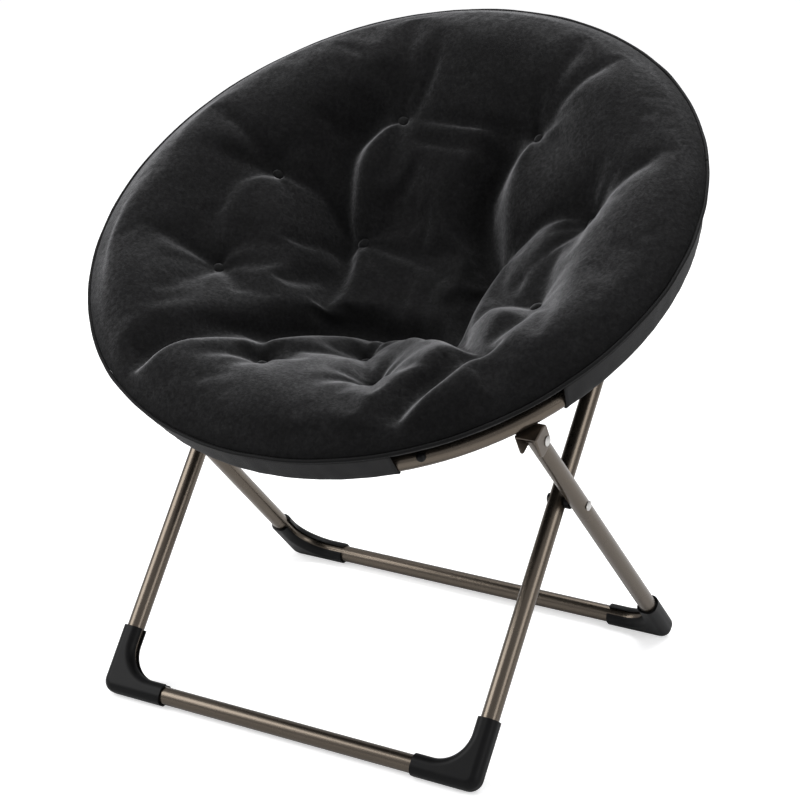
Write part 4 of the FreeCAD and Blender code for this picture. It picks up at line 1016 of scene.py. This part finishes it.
SLEEVES = [
    ("sleeve_front", "hoop_front", -116, -64),
    ("sleeve_side_right", "hoop_front", -33, 18.6),
    ("sleeve_side_left", "hoop_front", 161.4, 213),
    ("sleeve_shoulder_right", "hoop_rear", 31.6, 39.6),
    ("sleeve_shoulder_left", "hoop_rear", 140.4, 148.4),
    ("sleeve_rear", "hoop_rear", 49.4, 130.6),
]
for node_name, body, start, end in SLEEVES:
    strip = new_object(f"{node_name}_cloth", strip_mesh(f"{node_name}_cloth", start, end))
    strip.data.materials.append(BACK_FABRIC)
    face_outward(strip)
    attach(strip, body)
    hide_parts(node_name)

# %% [markdown]
# The piping is a thin cord in a bias-cut cover. It is drawn with the slight waver of a sewn edge.

# %% Piping
def piping_mesh(name, start, end):
    stations = max(12, int((end - start) / 0.75))
    around = 14
    points = []
    for station in range(stations + 1):
        angle = math.radians(start + (end - start) * station / stations)
        round_place = Vector((math.cos(angle), math.sin(angle), 0))
        waver = 0.9 * MM * noise.noise(round_place * 3.2) + 0.5 * MM * noise.noise(round_place * 11)
        lift = 0.7 * MM * noise.noise(round_place * 7 + Vector((5, 0, 0)))
        thick = PIPING_RADIUS * (1 + 0.06 * noise.noise(round_place * 90))
        for index in range(around):
            turn = 2 * math.pi * index / around
            reach = RIM_RADIUS + waver + thick * math.cos(turn)
            points.append((reach * math.cos(angle), reach * math.sin(angle), lift + thick * math.sin(turn)))
    faces = []
    for station in range(stations):
        a = station * around
        for i in range(around):
            after = (i + 1) % around
            faces.append((a + i, a + after, a + around + after, a + around + i))
    faces.append(list(range(around))[::-1])
    faces.append([stations * around + i for i in range(around)])
    return mesh_from(name, points, faces)


fold_angle = math.degrees(math.asin(HINGE_S / RIM_RADIUS))
for end, start, stop in (("front", -180 - fold_angle, fold_angle), ("rear", fold_angle, 180 - fold_angle)):
    cord = new_object(f"piping_cord_{end}", piping_mesh(f"piping_cord_{end}", start, stop))
    cord.data.materials.append(PIPING_FABRIC)
    face_outward(cord)
    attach(cord, f"hoop_{end}")
    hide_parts(f"piping_{end}")
    print(cord.name, len(cord.data.polygons), "faces")

# %% [markdown]
# The photograph's camera, worked out from the chair's own edges: a long lens, to the chair's front
# and a little above it. The image is square.

# %% Camera
CAMERA_PLACE = Vector((1.34234, -2.29076, 1.32166))
CAMERA_YAW = math.radians(30.2107)
CAMERA_PITCH = math.radians(-19.8877)
CAMERA_ROLL = math.radians(-0.6604)
forward = Vector((
    -math.sin(CAMERA_YAW) * math.cos(CAMERA_PITCH),
    math.cos(CAMERA_YAW) * math.cos(CAMERA_PITCH),
    math.sin(CAMERA_PITCH),
))
level_right = forward.cross(Vector((0, 0, 1))).normalized()
level_up = level_right.cross(forward)
right = level_right * math.cos(CAMERA_ROLL) + level_up * math.sin(CAMERA_ROLL)
up = level_up * math.cos(CAMERA_ROLL) - level_right * math.sin(CAMERA_ROLL)
camera_data = bpy.data.cameras.new("camera")
camera_data.sensor_width = 36
camera_data.lens = 98.1125
camera = bpy.data.objects.new("camera", camera_data)
bpy.context.scene.collection.objects.link(camera)
turn = Matrix((right, up, -forward)).transposed().to_4x4()
camera.matrix_world = Matrix.Translation(CAMERA_PLACE) @ turn
bpy.context.scene.camera = camera
print("camera", CAMERA_PLACE, "lens", camera_data.lens)

# %% [markdown]
# The floor is plain pale paper. Only the camera sees the backdrop as white and the floor with a glow
# added to it, so neither puts light on the chair. The chair's own light is a plain one: a grey
# surround and three large soft lamps.

# %% Floor, background and lights
floor_mesh = bpy.data.meshes.new("floor")
floor_mesh.from_pydata([(-6, -6, 0), (6, -6, 0), (6, 6, 0), (-6, 6, 0)], [], [(0, 1, 2, 3)])
floor = new_object("floor", floor_mesh)
floor.location.z = -0.0005
floor_material = bpy.data.materials.new("pale_floor")
tree, shader = nodes_of(floor_material)
paper = place_speckle(tree, 300.0, 2.0, 0.5)
tree.links.new(ramp(tree, paper.outputs["Mottle"], (0.86, 0.86, 0.86), (0.90, 0.90, 0.90)),
               shader.inputs["Base Color"])
shader.inputs["Roughness"].default_value = 0.9
shader.inputs["Emission Color"].default_value = (1, 1, 1, 1)
floor_path = tree.nodes.new("ShaderNodeLightPath")
glow = add(tree, "ShaderNodeMath", {1: 0.5}, operation="MULTIPLY")
tree.links.new(floor_path.outputs["Is Camera Ray"], glow.inputs[0])
tree.links.new(glow.outputs[0], shader.inputs["Emission Strength"])
floor.data.materials.append(floor_material)

world = bpy.data.worlds.new("studio")
bpy.context.scene.world = world
world.use_nodes = True
tree = world.node_tree
background = tree.nodes["Background"]
background.inputs["Strength"].default_value = 1.0
path = tree.nodes.new("ShaderNodeLightPath")
backdrop = ramp(tree, path.outputs["Is Camera Ray"], (0.52, 0.52, 0.53), (1.0, 1.0, 1.0))
tree.links.new(backdrop, background.inputs["Color"])


def area_lamp(name, place, target, size, watts):
    data = bpy.data.lights.new(name, "AREA")
    data.shape = "RECTANGLE"
    data.size = size[0]
    data.size_y = size[1]
    data.energy = watts
    lamp = bpy.data.objects.new(name, data)
    bpy.context.scene.collection.objects.link(lamp)
    lamp.location = place
    lamp.rotation_euler = (Vector(target) - Vector(place)).to_track_quat("-Z", "Y").to_euler()
    return lamp


SEAT = (0, 0, 0.5)
area_lamp("key_left", (-2.4, -1.6, 2.2), SEAT, (2.2, 2.2), 68)
area_lamp("top", (0.1, 1.0, 2.8), SEAT, (2.4, 2.4), 56)
area_lamp("fill_right", (2.8, -0.6, 1.6), SEAT, (1.2, 2.0), 22)
bpy.context.scene.view_settings.view_transform = "Standard"
